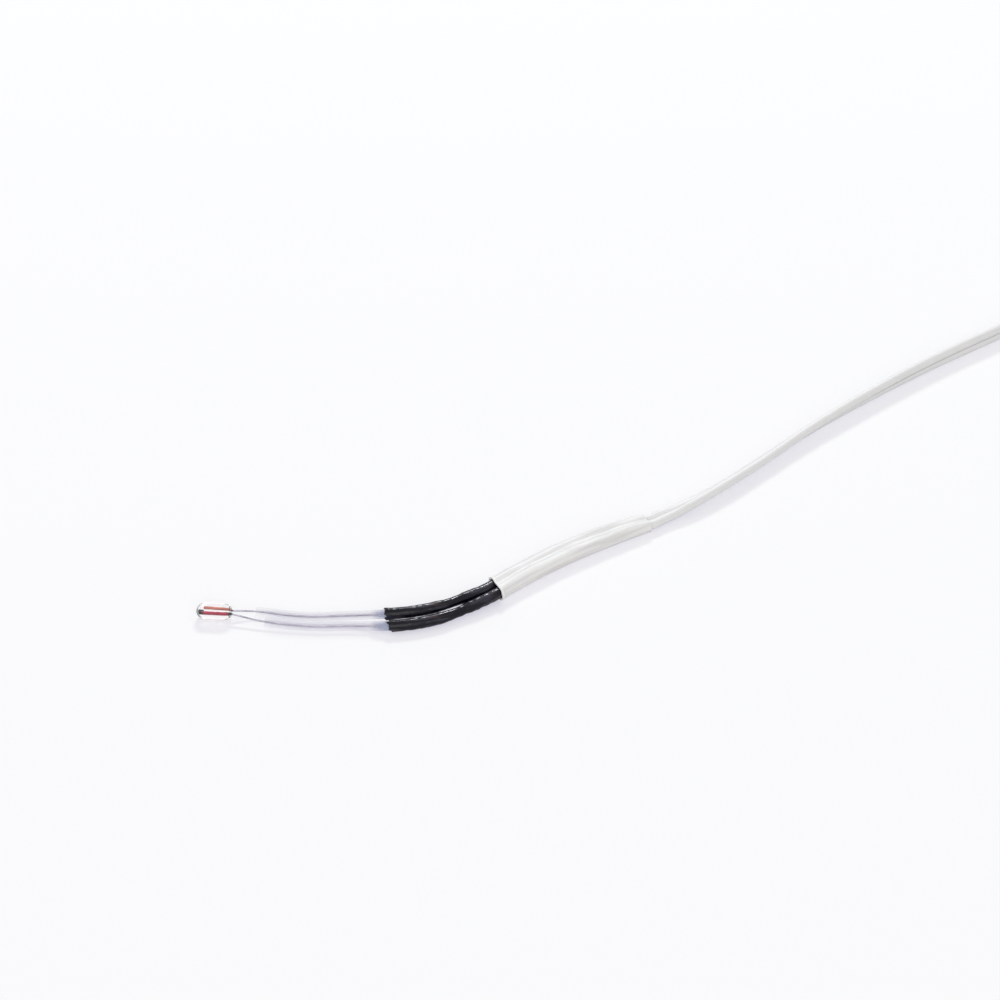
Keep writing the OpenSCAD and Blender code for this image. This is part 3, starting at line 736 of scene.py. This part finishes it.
def black_finish(colours, splice_s, core_s):
    """Black tubing drawn tight: glossy runs along it, broken by fine wrinkles and dull spots, with
    painted sheen streaks in its colour.

    Between splice_s and core_s it is stretched over the splice, smoother and glossier.
    """
    finish = Finish("black_shrink", colours.black, 0.3, Specular_IOR_Level=0.22)
    runs = finish.noise((450.0, 2600.0, 2600.0), 4.0, 0.6)
    grain = finish.noise((2600.0, 3200.0, 3200.0), 2.0)
    patches = finish.noise((420.0, 1300.0, 1300.0), 3.0)
    streaks = finish.noise((240.0, 1700.0, 1700.0), 2.0)
    # Painted sheen: lighter and partly warm streaks tinted into the black stand in for reflections
    wear_and_sheen = finish.mixed(finish.spread(patches, 0.42, 0.56), colours.black_sheen,
                        colours.black_warm_sheen)
    finish.tint(finish.spread(streaks, 0.5, 0.66), colours.black, wear_and_sheen)
    along = finish.lay("X")
    tight = finish.maths("MULTIPLY",
                         finish.spread(along, splice_s - 0.3 * MM, splice_s + 0.2 * MM),
                         finish.spread(along, core_s - 0.2 * MM, core_s + 0.3 * MM, 1.0, 0.0))
    dull_spots = finish.spread(patches, 0.44, 0.6, 0.16, 0.42)
    glossier = finish.spread(tight, 0.0, 1.0, 1.0, 0.55)
    finish.set("Roughness", finish.maths("MULTIPLY", dull_spots, glossier))
    first = finish.bump(runs, 0.06 * MM, finish.spread(tight, 0.0, 1.0, 0.5, 0.08))
    finish.bump(grain, 0.012 * MM, 0.45, after=first)
    return finish.material


def white_finish(colours, mouth_s):
    """Satin white tubing with soft lines along it, tinted as painted shade in their hollows and
    painted light on their crests.

    The cut lip at the mouth is tinted whiter than the rest, a painted highlight.
    """
    finish = Finish("white_shrink", colours.white, 0.45, Specular_IOR_Level=0.3)
    lines = finish.noise((90.0, 2300.0, 2300.0), 4.0, 0.6)
    mottle = finish.noise((260.0, 900.0, 900.0), 3.0)
    grain = finish.noise((2600.0, 3800.0, 3800.0), 3.0)
    # Painted shade and light: the same noise as the lines' bump darkens their hollows and lightens
    # their crests
    drawn = finish.mixed(finish.spread(lines, 0.35, 0.6), shade(colours.white, 0.86),
                         shade(colours.white, 1.04))
    # Painted highlight: the cut lip at the mouth is tinted whiter
    lip = finish.spread(finish.lay("X"), mouth_s + 0.12 * MM, mouth_s + 0.3 * MM, 1.0, 0.0)
    finish.tint(lip, drawn, shade(colours.white, 1.1))
    finish.set("Roughness", finish.spread(mottle, 0.3, 0.7, 0.38, 0.52))
    first = finish.bump(lines, 0.09 * MM, 0.6)
    finish.bump(grain, 0.01 * MM, 0.4, after=first)
    return finish.material


def insulation_finish(name, colours, crease):
    """Satin white insulation with faint lines drawn along it; a twin lead's crease gets a painted
    shade.
    """
    finish = Finish(name, colours.insulation, 0.44, Specular_IOR_Level=0.3)
    lines = finish.noise((60.0, 2400.0, 2400.0), 3.0)
    mottle = finish.noise((180.0, 700.0, 700.0), 2.0)
    base = finish.mixed(mottle, shade(colours.insulation, 0.96), shade(colours.insulation, 1.03))
    if crease:
        # Painted shade: the twin lead's crease tinted darker near the middle line
        off_middle = finish.maths("ABSOLUTE", finish.lay("Y"))
        crease_shade = finish.spread(off_middle, 0.03 * MM, 0.13 * MM, 0.6, 0.0)
        base = finish.mixed(crease_shade, base, shade(colours.insulation, 0.45))
    finish.set("Base Color", base)
    finish.bump(lines, 0.012 * MM, 0.4)
    return finish.material


def tin_finish(name, colours):
    """Tinned metal with soft streaks."""
    finish = Finish(name, colours.tin, 0.3, Metallic=0.9)
    streak = finish.noise((3500.0, 3500.0, 3500.0), 3.0, on_lay=False)
    finish.tint(streak, shade(colours.tin, 0.8), shade(colours.tin, 1.15))
    finish.set("Roughness", finish.spread(streak, 0.3, 0.7, 0.22, 0.45))
    finish.bump(streak, 0.01 * MM, 0.4)
    return finish.material


def tie_finish(colours):
    """Satin plastic strip with a fine ribbed face."""
    finish = Finish("tie_strip", colours.tie, 0.42)
    ribs = finish.noise((2500.0, 500.0, 500.0), 2.0)
    finish.tint(ribs, shade(colours.tie, 0.93), shade(colours.tie, 1.04))
    finish.bump(ribs, 0.02 * MM, 0.5)
    return finish.material


# Pieces


class ThermistorOperator:
    """What every operator of the set shares: undo, the sizes and the wires' paths."""

    bl_options = {"REGISTER", "UNDO"}

    @staticmethod
    def sizes(context):
        """Sizes of the bead, the tubes and the cable."""
        scene = context.scene
        return scene.bead_sizes, scene.tube_sizes, scene.cable_sizes

    @staticmethod
    def paths(context):
        """The path of each wire by its letter."""
        sizes = ThermistorOperator.sizes(context)
        return {letter: wire_path(*sizes, side) for letter, side in SIDES.items()}


class THERMISTOR_OT_camera(ThermistorOperator, Operator):
    """Place the camera at the photograph's angle"""

    bl_idname = "thermistor.camera"
    bl_label = "Camera"

    def execute(self, context):
        stage = context.scene.stage_settings
        a, e = stage.azimuth, stage.elevation
        back = Vector((math.sin(a) * math.cos(e), -math.cos(a) * math.cos(e), math.sin(e)))
        data = bpy.data.cameras.new("photo_camera")
        data.lens = stage.lens
        data.sensor_width = 36.0
        data.clip_start = 0.01
        data.clip_end = 20.0
        camera = bpy.data.objects.new("photo_camera", data)
        camera.location = Vector(stage.look_at) + back * stage.distance
        camera.rotation_euler = back.to_track_quat("Z", "Y").to_euler()
        context.scene.collection.objects.link(camera)
        context.scene.camera = camera
        return {"FINISHED"}


def twin_outline(core_r, valley):
    """Twin lead's outline: two circles side by side, joined by a shallow valley above and below.

    Each core is a circle from -127 to 127 degrees; the valley's points lie on a parabola.
    """
    a = np.radians(np.linspace(-127, 127, 19))
    right = stacked(core_r + core_r * np.cos(a), core_r * np.sin(a))
    edge_x, edge_z = right[-1]
    x = np.array([0.5, 0.0, -0.5]) * edge_x
    top = stacked(x, valley + (edge_z - valley) * (x / edge_x) ** 2)
    return np.vstack([right, top, -right, -top])


def hank_rows(cable):
    """Hank's middle line as x, y, z and twist in metres and degrees.

    It winds clockwise from the left end of its top run. Each step is a straight run and half a
    circle. In the lower layer each half circle is half a pitch smaller than the one before, in
    the upper layer half a pitch larger, and the left centres move by half a pitch to match, so
    runs and half circles meet without a corner. The first run of the upper layer climbs, and
    every run lifts a little over the tie.
    """
    pitch = 2 * cable.core_r + cable.turn_gap
    layer = 4 * cable.core_r + cable.turn_gap
    steps = 2 * cable.hank_turns
    middle_y = HANK_TOP - cable.hank_r
    run_t = np.linspace(0, 1, 10, endpoint=False)
    bend_t = np.linspace(0, 1, 16, endpoint=False)
    rows = []
    for i in range(2 * steps + 1):
        right = i % 2 == 0
        radius = cable.hank_r - pitch / 2 * min(i, 2 * steps - i)
        left_shift = -pitch / 2 if i < steps else pitch / 2
        centre_x = HANK_X + (cable.hank_run if right else 0)
        centre_y = middle_y + (0 if right else left_shift)
        way = 1 if right else -1
        z = 2 * cable.core_r + (layer if i > steps else 0)
        climb = layer * ease(run_t, 0, 1) if i == steps else 0 * run_t
        run_x = centre_x + way * cable.hank_run * (run_t - 1)
        rows.append(stacked(run_x, centre_y + way * radius, z + climb))
        angle = math.pi * (0.5 - bend_t) + (0 if right else math.pi)
        z += layer if i == steps else 0
        rows.append(stacked(centre_x + radius * np.cos(angle),
                            centre_y + radius * np.sin(angle), z))
    exit_x = HANK_X + cable.hank_run * (1 - run_t)
    rows.append(stacked(exit_x, middle_y - cable.hank_r, z))
    x, y, z = np.vstack(rows)[1:].T
    tie_x = HANK_X + cable.hank_run / 2
    z = z + (cable.tie_t + cable.clear) * np.exp(-(((x - tie_x) / HUMP) ** 4))
    return stacked(x, y, z, ON_EDGE)


class THERMISTOR_OT_cable(ThermistorOperator, Operator):
    """Carry the twin lead's outline along its route, through the hank to the split end"""

    bl_idname = "thermistor.cable"
    bl_label = "Twin lead"

    def execute(self, context):
        cable, colours = context.scene.cable_sizes, context.scene.finish_colours
        scale = np.array([MM, MM, MM, 1.0])
        run = smooth_route(np.array(RUN_ROUTE) * scale, per_span=7)
        tail = smooth_route(np.array(TAIL_ROUTE) * scale, per_span=6)
        rows = np.vstack([run, hank_rows(cable), tail])
        path = Path(rows[:, :3])
        # The outline, turned by the twist and carried along the route
        s, twist = path.s[:, None], np.radians(rows[:, 3])[:, None]
        flat, tall = twin_outline(cable.core_r, cable.valley).T
        across = flat * np.cos(twist) - tall * np.sin(twist)
        up = flat * np.sin(twist) + tall * np.cos(twist)
        piece = closed_piece("twin_lead", path.carry(s, across, up), stacked(s, flat, tall))
        finish = insulation_finish("white_insulation", colours, crease=True)
        finish_piece(piece, "white_insulation", finish, "cable_run", "cable_hank", "cable_tail")
        context.scene["twin_lead_path"] = [float(v) for v in rows[:, :3].ravel()]
        return {"FINISHED"}


class THERMISTOR_OT_cable_ends(ThermistorOperator, Operator):
    """Make the two split cores at the far end and their twisted, tinned strands"""

    bl_idname = "thermistor.cable_ends"
    bl_label = "Far ends"

    def execute(self, context):
        cable, colours = context.scene.cable_sizes, context.scene.finish_colours
        insulation = insulation_finish("core_insulation", colours, crease=False)
        tin = tin_finish("tinned_strands", colours)
        for letter, rows in TAIL_CORES.items():
            path = Path(smooth_route(np.array(rows) * MM, per_span=6))
            outline = round_outline(cable.core_r, around(24))
            core = closed_piece(f"split_core_{letter}", *carried(path, path.s[:, None], *outline))
            finish_piece(core, "white_insulation", insulation, f"tail_core_{letter}")
            ends = self.strands(f"tinned_end_{letter}", path, cable)
            finish_piece(ends, "tinned_strands", tin, f"stripped_end_{letter}")
        return {"FINISHED"}

    @staticmethod
    def strands(name, path, cable):
        """Seven strands: one straight, six pressed round it on helices that turn every 4 mm."""
        full_turn, pressed = 4 * MM, 1.98 * cable.strand_r
        s = np.linspace(0, cable.strip_len, 26)[:, None]
        bare = Path(path.points[-1] + s * unit(path.points[-1] - path.points[-2]))
        across, up = round_outline(cable.strand_r, around(10))
        parts = []
        for strand, ring in enumerate([pressed] * 6 + [0.0]):
            helix = 2 * math.pi * (strand / 6 + s / full_turn)
            moved = across + ring * np.cos(helix), up + ring * np.sin(helix)
            parts.append((*carried(bare, s, *moved), False))
        return joined_piece(name, parts)


class THERMISTOR_OT_tie(ThermistorOperator, Operator):
    """Wrap the strip round the hank's waist and twist its two ends together"""

    bl_idname = "thermistor.tie"
    bl_label = "Hank tie"

    def execute(self, context):
        cable = context.scene.cable_sizes
        half_w, height = cable.hank_r + cable.core_r + cable.clear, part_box("hank_tie")[1][2]
        centre = np.array([HANK_X + cable.hank_run / 2, HANK_TOP - cable.hank_r, height / 2])
        start = centre + np.array([0.0, half_w + cable.tie_w / 4 + 2 * cable.clear, 0.0])
        parts = [self.band(centre, half_w, height, cable), *self.twisted(start, cable)]
        piece = joined_piece("hank_tie_strip", parts)
        finish_piece(piece, "tie_strip", tie_finish(context.scene.finish_colours), "hank_tie")
        return {"FINISHED"}

    @staticmethod
    def band(centre, half_w, height, cable):
        """A strip with rounded edges, carried round a squared loop in the plane square to X."""
        thick = cable.tie_t
        a, b = around(160), around(32)
        loop = stacked(squared(np.cos(a), BAND_SIDES) * (half_w + thick / 2),
                       squared(np.sin(a), STRIP_EDGES) * (height - thick) / 2)
        ahead = unit(np.roll(loop, -1, axis=0) - np.roll(loop, 1, axis=0))
        w = squared(np.cos(b), STRIP_EDGES) * cable.tie_w / 2
        h = squared(np.sin(b), STRIP_EDGES) * thick / 2
        y = loop[:, :1] + ahead[:, 1:] * h
        z = loop[:, 1:] - ahead[:, :1] * h
        steps = np.linalg.norm(np.diff(loop, axis=0, prepend=loop[-1:]), axis=1)
        return centre + stacked(w, y, z), stacked(np.cumsum(steps)[:, None], w, h), True

    @staticmethod
    def twisted(start, cable):
        """Two flat strips side by side, turned round their shared line one and a half times."""
        s, b = np.linspace(0, cable.tie_twist_len, 40)[:, None], around(16)
        angle = 1.5 * 2 * math.pi * s / cable.tie_twist_len
        w = squared(np.cos(b), STRIP_EDGES) * cable.tie_w / 4
        for off_middle in (0.4, -0.4):
            h = (squared(np.sin(b), STRIP_EDGES) * 0.35 + off_middle) * cable.tie_t
            lay = stacked(s, w * np.cos(angle) - h * np.sin(angle),
                          w * np.sin(angle) + h * np.cos(angle))
            yield start + lay, lay, False


class THERMISTOR_OT_declare_cord(ThermistorOperator, Operator):
    bl_idname = "thermistor.declare_cord"
    bl_label = "Declare the lead"

    def execute(self, context):
        return {"FINISHED"}


class THERMISTOR_OT_glass(ThermistorOperator, Operator):
    """Turn the glass bead's profile about its axis"""

    bl_idname = "thermistor.glass"
    bl_label = "Glass bead"

    def execute(self, context):
        bead = context.scene.bead_sizes
        u, r = self.profile(bead)
        lay = stacked(u[:, None], *round_outline(r, around(64)))
        piece = closed_piece("bead_glass", bead_tip(bead) + lay @ bead_axes(bead), lay)
        finish_piece(piece, "bead_glass", glass_finish(context.scene.finish_colours), "glass_body")
        return {"FINISHED"}

    @staticmethod
    def profile(bead):
        """Distance from the tip and radius: a quarter circle, a straight wall, a smooth neck."""
        a = np.linspace(0.02, math.pi / 2, 22)
        tip_u, tip_r = bead.glass_r * (1 - np.cos(a)), bead.glass_r * np.sin(a)
        wall_end = bead.glass_len - bead.rear_cone
        wall_u = np.linspace(bead.glass_r, wall_end, 8)[1:]
        round_r = 0.18 * MM
        neck_u = np.linspace(wall_end, bead.glass_len - round_r, 10)[1:]
        neck_r = mix(bead.glass_r, bead.rear_r, ease(neck_u, wall_end, bead.glass_len))
        b = np.linspace(0, math.pi / 2 - 0.1, 8)[1:]
        end_u = bead.glass_len - round_r + round_r * np.sin(b)
        end_r = neck_r[-1] - round_r * (1 - np.cos(b))
        u = np.concatenate([tip_u, wall_u, neck_u, end_u])
        r = np.concatenate([tip_r, np.full(len(wall_u), bead.glass_r), neck_r, end_r])
        return u, r


class THERMISTOR_OT_chip(ThermistorOperator, Operator):
    """Make the small ceramic chip between the lead tips, with rounded edges"""

    bl_idname = "thermistor.chip"
    bl_label = "Chip"

    def execute(self, context):
        bead = context.scene.bead_sizes
        axes = bead_axes(bead)
        thick, half_high = 0.5 * bead.lead_gap - bead.lead_r, 0.22 * bead.chip_w
        # An ellipsoid by two angles, with every sine and cosine pushed towards a box
        v = np.linspace(0.05, math.pi - 0.05, 25)[:, None]
        w = around(32)
        belt = squared(np.sin(v), CHIP_EDGES)
        lay = stacked(-squared(np.cos(v), CHIP_EDGES) * bead.chip_len / 2,
                      belt * squared(np.cos(w), CHIP_EDGES) * thick / 2 - thick / 2,
                      belt * squared(np.sin(w), CHIP_EDGES) * half_high)
        middle = bead_tip(bead) + (bead.tip_wall + bead.chip_len / 2) * axes[0]
        piece = closed_piece("ceramic_chip", middle + lay @ axes, lay)
        finish_piece(piece, "chip", chip_finish(context.scene.finish_colours), "sensor_chip")
        return {"FINISHED"}


class THERMISTOR_OT_leads(ThermistorOperator, Operator):
    """Carry the two lead wires from the chip through their sleeves to the splices"""

    bl_idname = "thermistor.leads"
    bl_label = "Leads"

    def execute(self, context):
        bead, tube, _ = self.sizes(context)
        colours = context.scene.finish_colours
        # Lead a gets the painted lit copper, lead b the painted shaded copper and a painted shade
        # beside the chip
        finishes = {"a": copper_finish("lead_wire_a", colours.copper_lit_a, 0.0, colours),
                    "b": copper_finish("lead_wire_b", colours.copper_shaded_b, 0.35 * MM, colours)}
        # As they look through the glass: where each lead's tip is, and its radius
        tips = {"a": bead.chip_len - 0.08 * MM, "b": 0.0}
        radii = {"a": bead.lead_r - 0.05 * MM, "b": bead.lead_r + 0.01 * MM}
        tip_len, rear = 0.06 * MM, bead.glass_len - bead.tip_wall
        _, splice_x, core_x = splice_places(tube)
        for letter, path in self.paths(context).items():
            tip, end = tips[letter], path.s_at_x((splice_x + core_x) / 2 - 0.1 * MM)
            s = np.concatenate([[tip, tip + tip_len / 2], np.linspace(tip + tip_len, end, 150)])
            # Circles whose radius eases to the bare wire's past the rear, rounded at the tip
            radius = mix(radii[letter], bead.bare_r, ease(s, rear, rear + 0.5 * MM))
            radius = radius * np.sqrt(np.clip((s - tip) / tip_len, 0.35, 1.0))
            outline = round_outline(radius, around(20))
            piece = closed_piece(f"lead_wire_{letter}", *carried(path, s[:, None], *outline))
            finish_piece(piece, "lead_wire", finishes[letter], f"lead_{letter}")
        return {"FINISHED"}


class THERMISTOR_OT_sleeves(ThermistorOperator, Operator):
    """Make the translucent sleeves over the two leads"""

    bl_idname = "thermistor.sleeves"
    bl_label = "Lead sleeves"

    def execute(self, context):
        bead, tube, _ = self.sizes(context)
        paths = self.paths(context)
        start_x = bead.rear_x + tube.bare_lead
        mouth_x, splice_x, _ = splice_places(tube)
        finish = sleeve_finish(context.scene.finish_colours, paths["a"].s_at_x(start_x),
                               paths["a"].s_at_x(mouth_x))
        angle, lip = around(28), 0.04 * MM
        for letter, path in paths.items():
            s = np.linspace(path.s_at_x(start_x) + lip,
                            path.s_at_x(splice_x - tube.clear) - lip, 110)
            # Circles, the outer ones dented a little by long waves
            dents = 0.012 * MM * np.abs(waves(s[:, None], angle, seed=5, count=4,
                                              shortest=4 * MM, longest=9 * MM))
            outer = round_outline(tube.ptfe_r - dents, angle)
            inner = round_outline(np.full(len(s), tube.ptfe_bore), angle)
            piece = walled_piece(f"lead_sleeve_{letter}", path, s, outer, inner, lip)
            finish_piece(piece, "clear_sleeve", finish, f"ptfe_sleeve_{letter}")
        return {"FINISHED"}


class THERMISTOR_OT_black_tubes(ThermistorOperator, Operator):
    """Shrink the black tubes over sleeve, splice and core, with wrinkles"""

    bl_idname = "thermistor.black_tubes"
    bl_label = "Black tubes"

    def execute(self, context):
        _, tube, cable = self.sizes(context)
        paths = self.paths(context)
        start_x, splice_x, core_x = splice_places(tube)
        finish = black_finish(context.scene.finish_colours, paths["a"].s_at_x(splice_x),
                              paths["a"].s_at_x(core_x))
        angle, lip, step = around(48), 0.4 * tube.black_wall, tube.black_step
        for seed, (letter, path) in enumerate(paths.items()):
            s = np.linspace(path.s_at_x(start_x) + lip,
                            path.s_at_x(MOUTH_X + tube.black_tuck) - lip, 230)
            x = np.interp(s, path.s, path.points[:, 0])
            # The bore eases from sleeve to splice to core; the near end flares by a bell curve
            bore = mix(tube.ptfe_r, tube.splice_r, ease(x, splice_x - step, splice_x + 3 * step))
            bore = mix(bore, cable.core_r, ease(x, core_x - 2 * step, core_x)) + tube.clear
            flare = 0.035 * MM * np.exp(-((s - s[0]) / (0.5 * MM)) ** 2)
            in_sight = 1 - ease(x, MOUTH_X - 0.4 * MM, MOUTH_X)[:, None]
            wrinkles = waves(s[:, None], angle, seed=11 + seed, count=9, shortest=0.7 * MM,
                             longest=2.6 * MM)
            outer = round_outline((bore + tube.black_wall + flare)[:, None]
                                  + tube.wrinkle * (wrinkles - 1) * in_sight, angle)
            near, far = self.cuts(angle, seed)
            piece = walled_piece(f"black_tube_{letter}", path, s, outer,
                                 round_outline(bore, angle), lip, near, far)
            finish_piece(piece, "black_shrink", finish, f"black_shrink_{letter}")
        return {"FINISHED"}

    @staticmethod
    def cuts(angle, seed):
        """How far the near and the far cut lie along the tube, by angle.

        The near one is ragged, a sum of two sines, and tube b's also slants towards the bead.
        """
        teeth = 0.10 * MM * np.sin(5 * angle + 2 * seed) + 0.07 * MM * np.sin(9 * angle + 1)
        slant = (0.2 + 0.3 * np.cos(angle - math.radians(110))) * MM
        return teeth - 0.1 * MM - seed * slant, 0.1 * MM * np.cos(angle + seed)


class THERMISTOR_OT_white_sleeve(ThermistorOperator, Operator):
    """Loft the white sleeve: a flat-bottomed stadium with two soft ridges"""

    bl_idname = "thermistor.white_sleeve"
    bl_label = "White sleeve"

    def execute(self, context):
        _, tube, cable = self.sizes(context)
        wall, clear, lip = tube.white_wall, tube.clear, 0.45 * tube.white_wall
        black_r, black_end = black_radius(tube, cable), MOUTH_X + tube.black_tuck
        x = np.linspace(MOUTH_X + lip, EXIT_X - lip, 150)
        # The outline shrinks from the tubes' to the twin lead's by the square of the distance
        k = np.clip((x - black_end) / (EXIT_X - black_end), 0, 1) ** 2
        half_h = mix(wall + 2 * clear + black_r, tube.white_far_h / 2, k)[:, None]
        half_gap = mix(black_r + clear, cable.core_r + 3 * clear, k)[:, None]
        across, up = self.outline(half_h, half_gap, 0.0, tube.white_dip)
        inner = self.outline(half_h, half_gap, wall, tube.white_dip)
        angle = around(across.shape[1])
        # The top sways by a sum of waves, and the mouth flares by a bell curve
        height = np.clip(up / (2 * half_h), 0, 1)
        sway = 0.03 * MM * (waves(x[:, None], angle, seed=21, count=7, shortest=2.5 * MM,
                                  longest=8 * MM) - 1)
        flare = tube.white_flare * np.exp(-((x - x[0]) / (0.25 * MM)) ** 2)[:, None]
        across = across * (1 - 0.01 * height + flare / half_h)
        up = up + (sway + flare) * height
        path_x = np.linspace(MOUTH_X - 2 * MM, EXIT_X + 1 * MM, 180)
        path = Path(stacked(path_x, sleeve_y(path_x), 0.0))
        s = np.interp(x, path_x, path.s)
        # The mouth is cut on a slant, and both cuts are a little uneven
        uneven = 0.03 * MM * np.sin(3 * angle + 0.6) + 0.02 * MM * np.sin(7 * angle)
        near = tube.mouth_slant * (across[0] - 1.0 * MM) + uneven
        piece = walled_piece("white_sleeve", path, s, (across, up), inner, lip, near, -uneven)
        finish = white_finish(context.scene.finish_colours, s[0])
        finish_piece(piece, "white_shrink", finish, "white_shrink")
        return {"FINISHED"}

    @staticmethod
    def outline(half_h, half_gap, inset, dip):
        """Across and up: half circle, shallow top dip by a cosine, half circle, flat base."""
        a = np.radians(np.linspace(-90, 90, 25))
        r = half_h - inset
        k, base = np.linspace(1, -1, 15)[1:-1], np.linspace(-1, 1, 9)[1:-1]
        top = 2 * half_h - inset - dip * (1 + np.cos(math.pi * k)) / 2
        across = np.hstack([half_gap + r * np.cos(a), k * half_gap, -half_gap - r * np.cos(a),
                            base * half_gap])
        up = np.hstack([half_h + r * np.sin(a), top, half_h - r * np.sin(a),
                        inset + 0 * base * half_h])
        return across, up


class THERMISTOR_OT_hidden_parts(ThermistorOperator, Operator):
    """Finish the splices, conductors and cores that the tubes hide"""

    bl_idname = "thermistor.hidden_parts"
    bl_label = "Hidden parts"

    def execute(self, context):
        solder = tin_finish("solder", context.scene.finish_colours)
        tin = bpy.data.materials["tinned_strands"]
        insulation = bpy.data.materials["core_insulation"]
        for letter in SIDES:
            for node, finish in ((f"solder_joint_{letter}", solder), (f"conductor_{letter}", tin),
                                 (f"cable_core_{letter}", insulation)):
                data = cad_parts[node].data
                data.materials.clear()
                data.materials.append(finish)
        return {"FINISHED"}


class THERMISTOR_OT_stage(ThermistorOperator, Operator):
    """Lay the white floor and set the soft light"""

    bl_idname = "thermistor.stage"
    bl_label = "Stage"

    def execute(self, context):
        stage = context.scene.stage_settings
        half = stage.floor_size / 2
        mesh = bpy.data.meshes.new("floor")
        corners = [(-half, -half, 0), (half, -half, 0), (half, half, 0), (-half, half, 0)]
        mesh.from_pydata(corners, [], [(0, 1, 2, 3)])
        floor = bpy.data.objects.new("floor", mesh)
        context.scene.collection.objects.link(floor)
        mesh.materials.append(self.floor_material())
        self.world(context, stage.world_level)
        for name, (offset, size, tint) in LAMPS.items():
            data = bpy.data.lights.new(name, "AREA")
            data.shape = "ELLIPSE"
            data.size, data.size_y = size
            data.color = tint
            data.energy = getattr(stage, f"{name}_power")
            lamp = bpy.data.objects.new(name, data)
            lamp.location = Vector(stage.look_at) + Vector(offset)
            lamp.rotation_euler = Vector(offset).to_track_quat("Z", "Y").to_euler()
            context.scene.collection.objects.link(lamp)
        context.scene.view_settings.view_transform = "Standard"
        return {"FINISHED"}

    @staticmethod
    def shader(tree, kind, tint, strength=None):
        """The output of a new shader of one colour, with its strength if it glows."""
        node = tree.nodes.new(kind)
        node.inputs["Color"].default_value = (*tint, 1.0)
        if strength is not None:
            node.inputs["Strength"].default_value = strength
        return node.outputs[0]

    @staticmethod
    def surface(tree, output, unseen, seen):
        """Ends a tree: seen shows to the camera, off gloss and through glass, else unseen."""
        light = tree.nodes.new("ShaderNodeLightPath")
        choose = tree.nodes.new("ShaderNodeMixShader")
        direct = light.outputs["Is Camera Ray"]
        for name in ("Is Glossy Ray", "Is Transmission Ray"):
            either = tree.nodes.new("ShaderNodeMath")
            either.operation = "MAXIMUM"
            tree.links.new(direct, either.inputs[0])
            tree.links.new(light.outputs[name], either.inputs[1])
            direct = either.outputs[0]
        for socket, target in zip((direct, unseen, seen), choose.inputs):
            tree.links.new(socket, target)
        tree.links.new(choose.outputs[0], tree.nodes.new(output).inputs["Surface"])

    @staticmethod
    def floor_material():
        """White floor: seen directly it glows up to white and keeps a faint violet shadow."""
        material = bpy.data.materials.new("floor_white")
        material.use_nodes = True
        tree, stage = material.node_tree, THERMISTOR_OT_stage
        tree.nodes.clear()
        seen = tree.nodes.new("ShaderNodeAddShader")
        tree.links.new(stage.shader(tree, "ShaderNodeBsdfDiffuse", FLOOR_FACE), seen.inputs[0])
        tree.links.new(stage.shader(tree, "ShaderNodeEmission", FLOOR_GLOW, 1.0), seen.inputs[1])
        unseen = stage.shader(tree, "ShaderNodeBsdfDiffuse", FLOOR_BOUNCE)
        stage.surface(tree, "ShaderNodeOutputMaterial", unseen, seen.outputs[0])
        return material

    @staticmethod
    def world(context, level):
        """Even light from all round, which shows as white."""
        world = bpy.data.worlds.new("studio")
        context.scene.world = world
        world.use_nodes = True
        tree, stage = world.node_tree, THERMISTOR_OT_stage
        tree.nodes.clear()
        unseen, seen = (stage.shader(tree, "ShaderNodeBackground", WHITE, strength)
                        for strength in (level, 1.0))
        stage.surface(tree, "ShaderNodeOutputWorld", unseen, seen)


OPERATORS = [
    THERMISTOR_OT_camera, THERMISTOR_OT_cable, THERMISTOR_OT_cable_ends, THERMISTOR_OT_tie,
    THERMISTOR_OT_declare_cord, THERMISTOR_OT_glass, THERMISTOR_OT_chip, THERMISTOR_OT_leads,
    THERMISTOR_OT_sleeves, THERMISTOR_OT_black_tubes, THERMISTOR_OT_white_sleeve,
    THERMISTOR_OT_hidden_parts, THERMISTOR_OT_stage,
]


class THERMISTOR_PT_panel(Panel):
    """Lists the sizes, colours and operators in the 3D view's sidebar"""

    bl_idname = "THERMISTOR_PT_panel"
    bl_label = "Thermistor"
    bl_space_type = "VIEW_3D"
    bl_region_type = "UI"
    bl_category = "Thermistor"

    def draw(self, context):
        for name, group in SETTINGS.items():
            column = self.layout.column(align=True)
            settings = getattr(context.scene, name)
            for prop in group.__annotations__:
                column.prop(settings, prop)
        for operator in OPERATORS:
            self.layout.operator(operator.bl_idname)


def register():
    """Registers the sizes, the operators and the panel."""
    for group in SETTINGS.values():
        bpy.utils.register_class(group)
    for name, group in SETTINGS.items():
        setattr(bpy.types.Scene, name, PointerProperty(type=group))
    for operator in OPERATORS:
        bpy.utils.register_class(operator)
    bpy.utils.register_class(THERMISTOR_PT_panel)


def unregister():
    """Takes everything that register adds away again, in the opposite order."""
    bpy.utils.unregister_class(THERMISTOR_PT_panel)
    for operator in reversed(OPERATORS):
        bpy.utils.unregister_class(operator)
    for name in SETTINGS:
        delattr(bpy.types.Scene, name)
    for group in reversed(list(SETTINGS.values())):
        bpy.utils.unregister_class(group)


def main():
    """Makes every piece and the stage."""
    register()
    for operator in OPERATORS:
        group, name = operator.bl_idname.split(".")
        getattr(getattr(bpy.ops, group), name)()


if __name__ == "__main__":
    main()
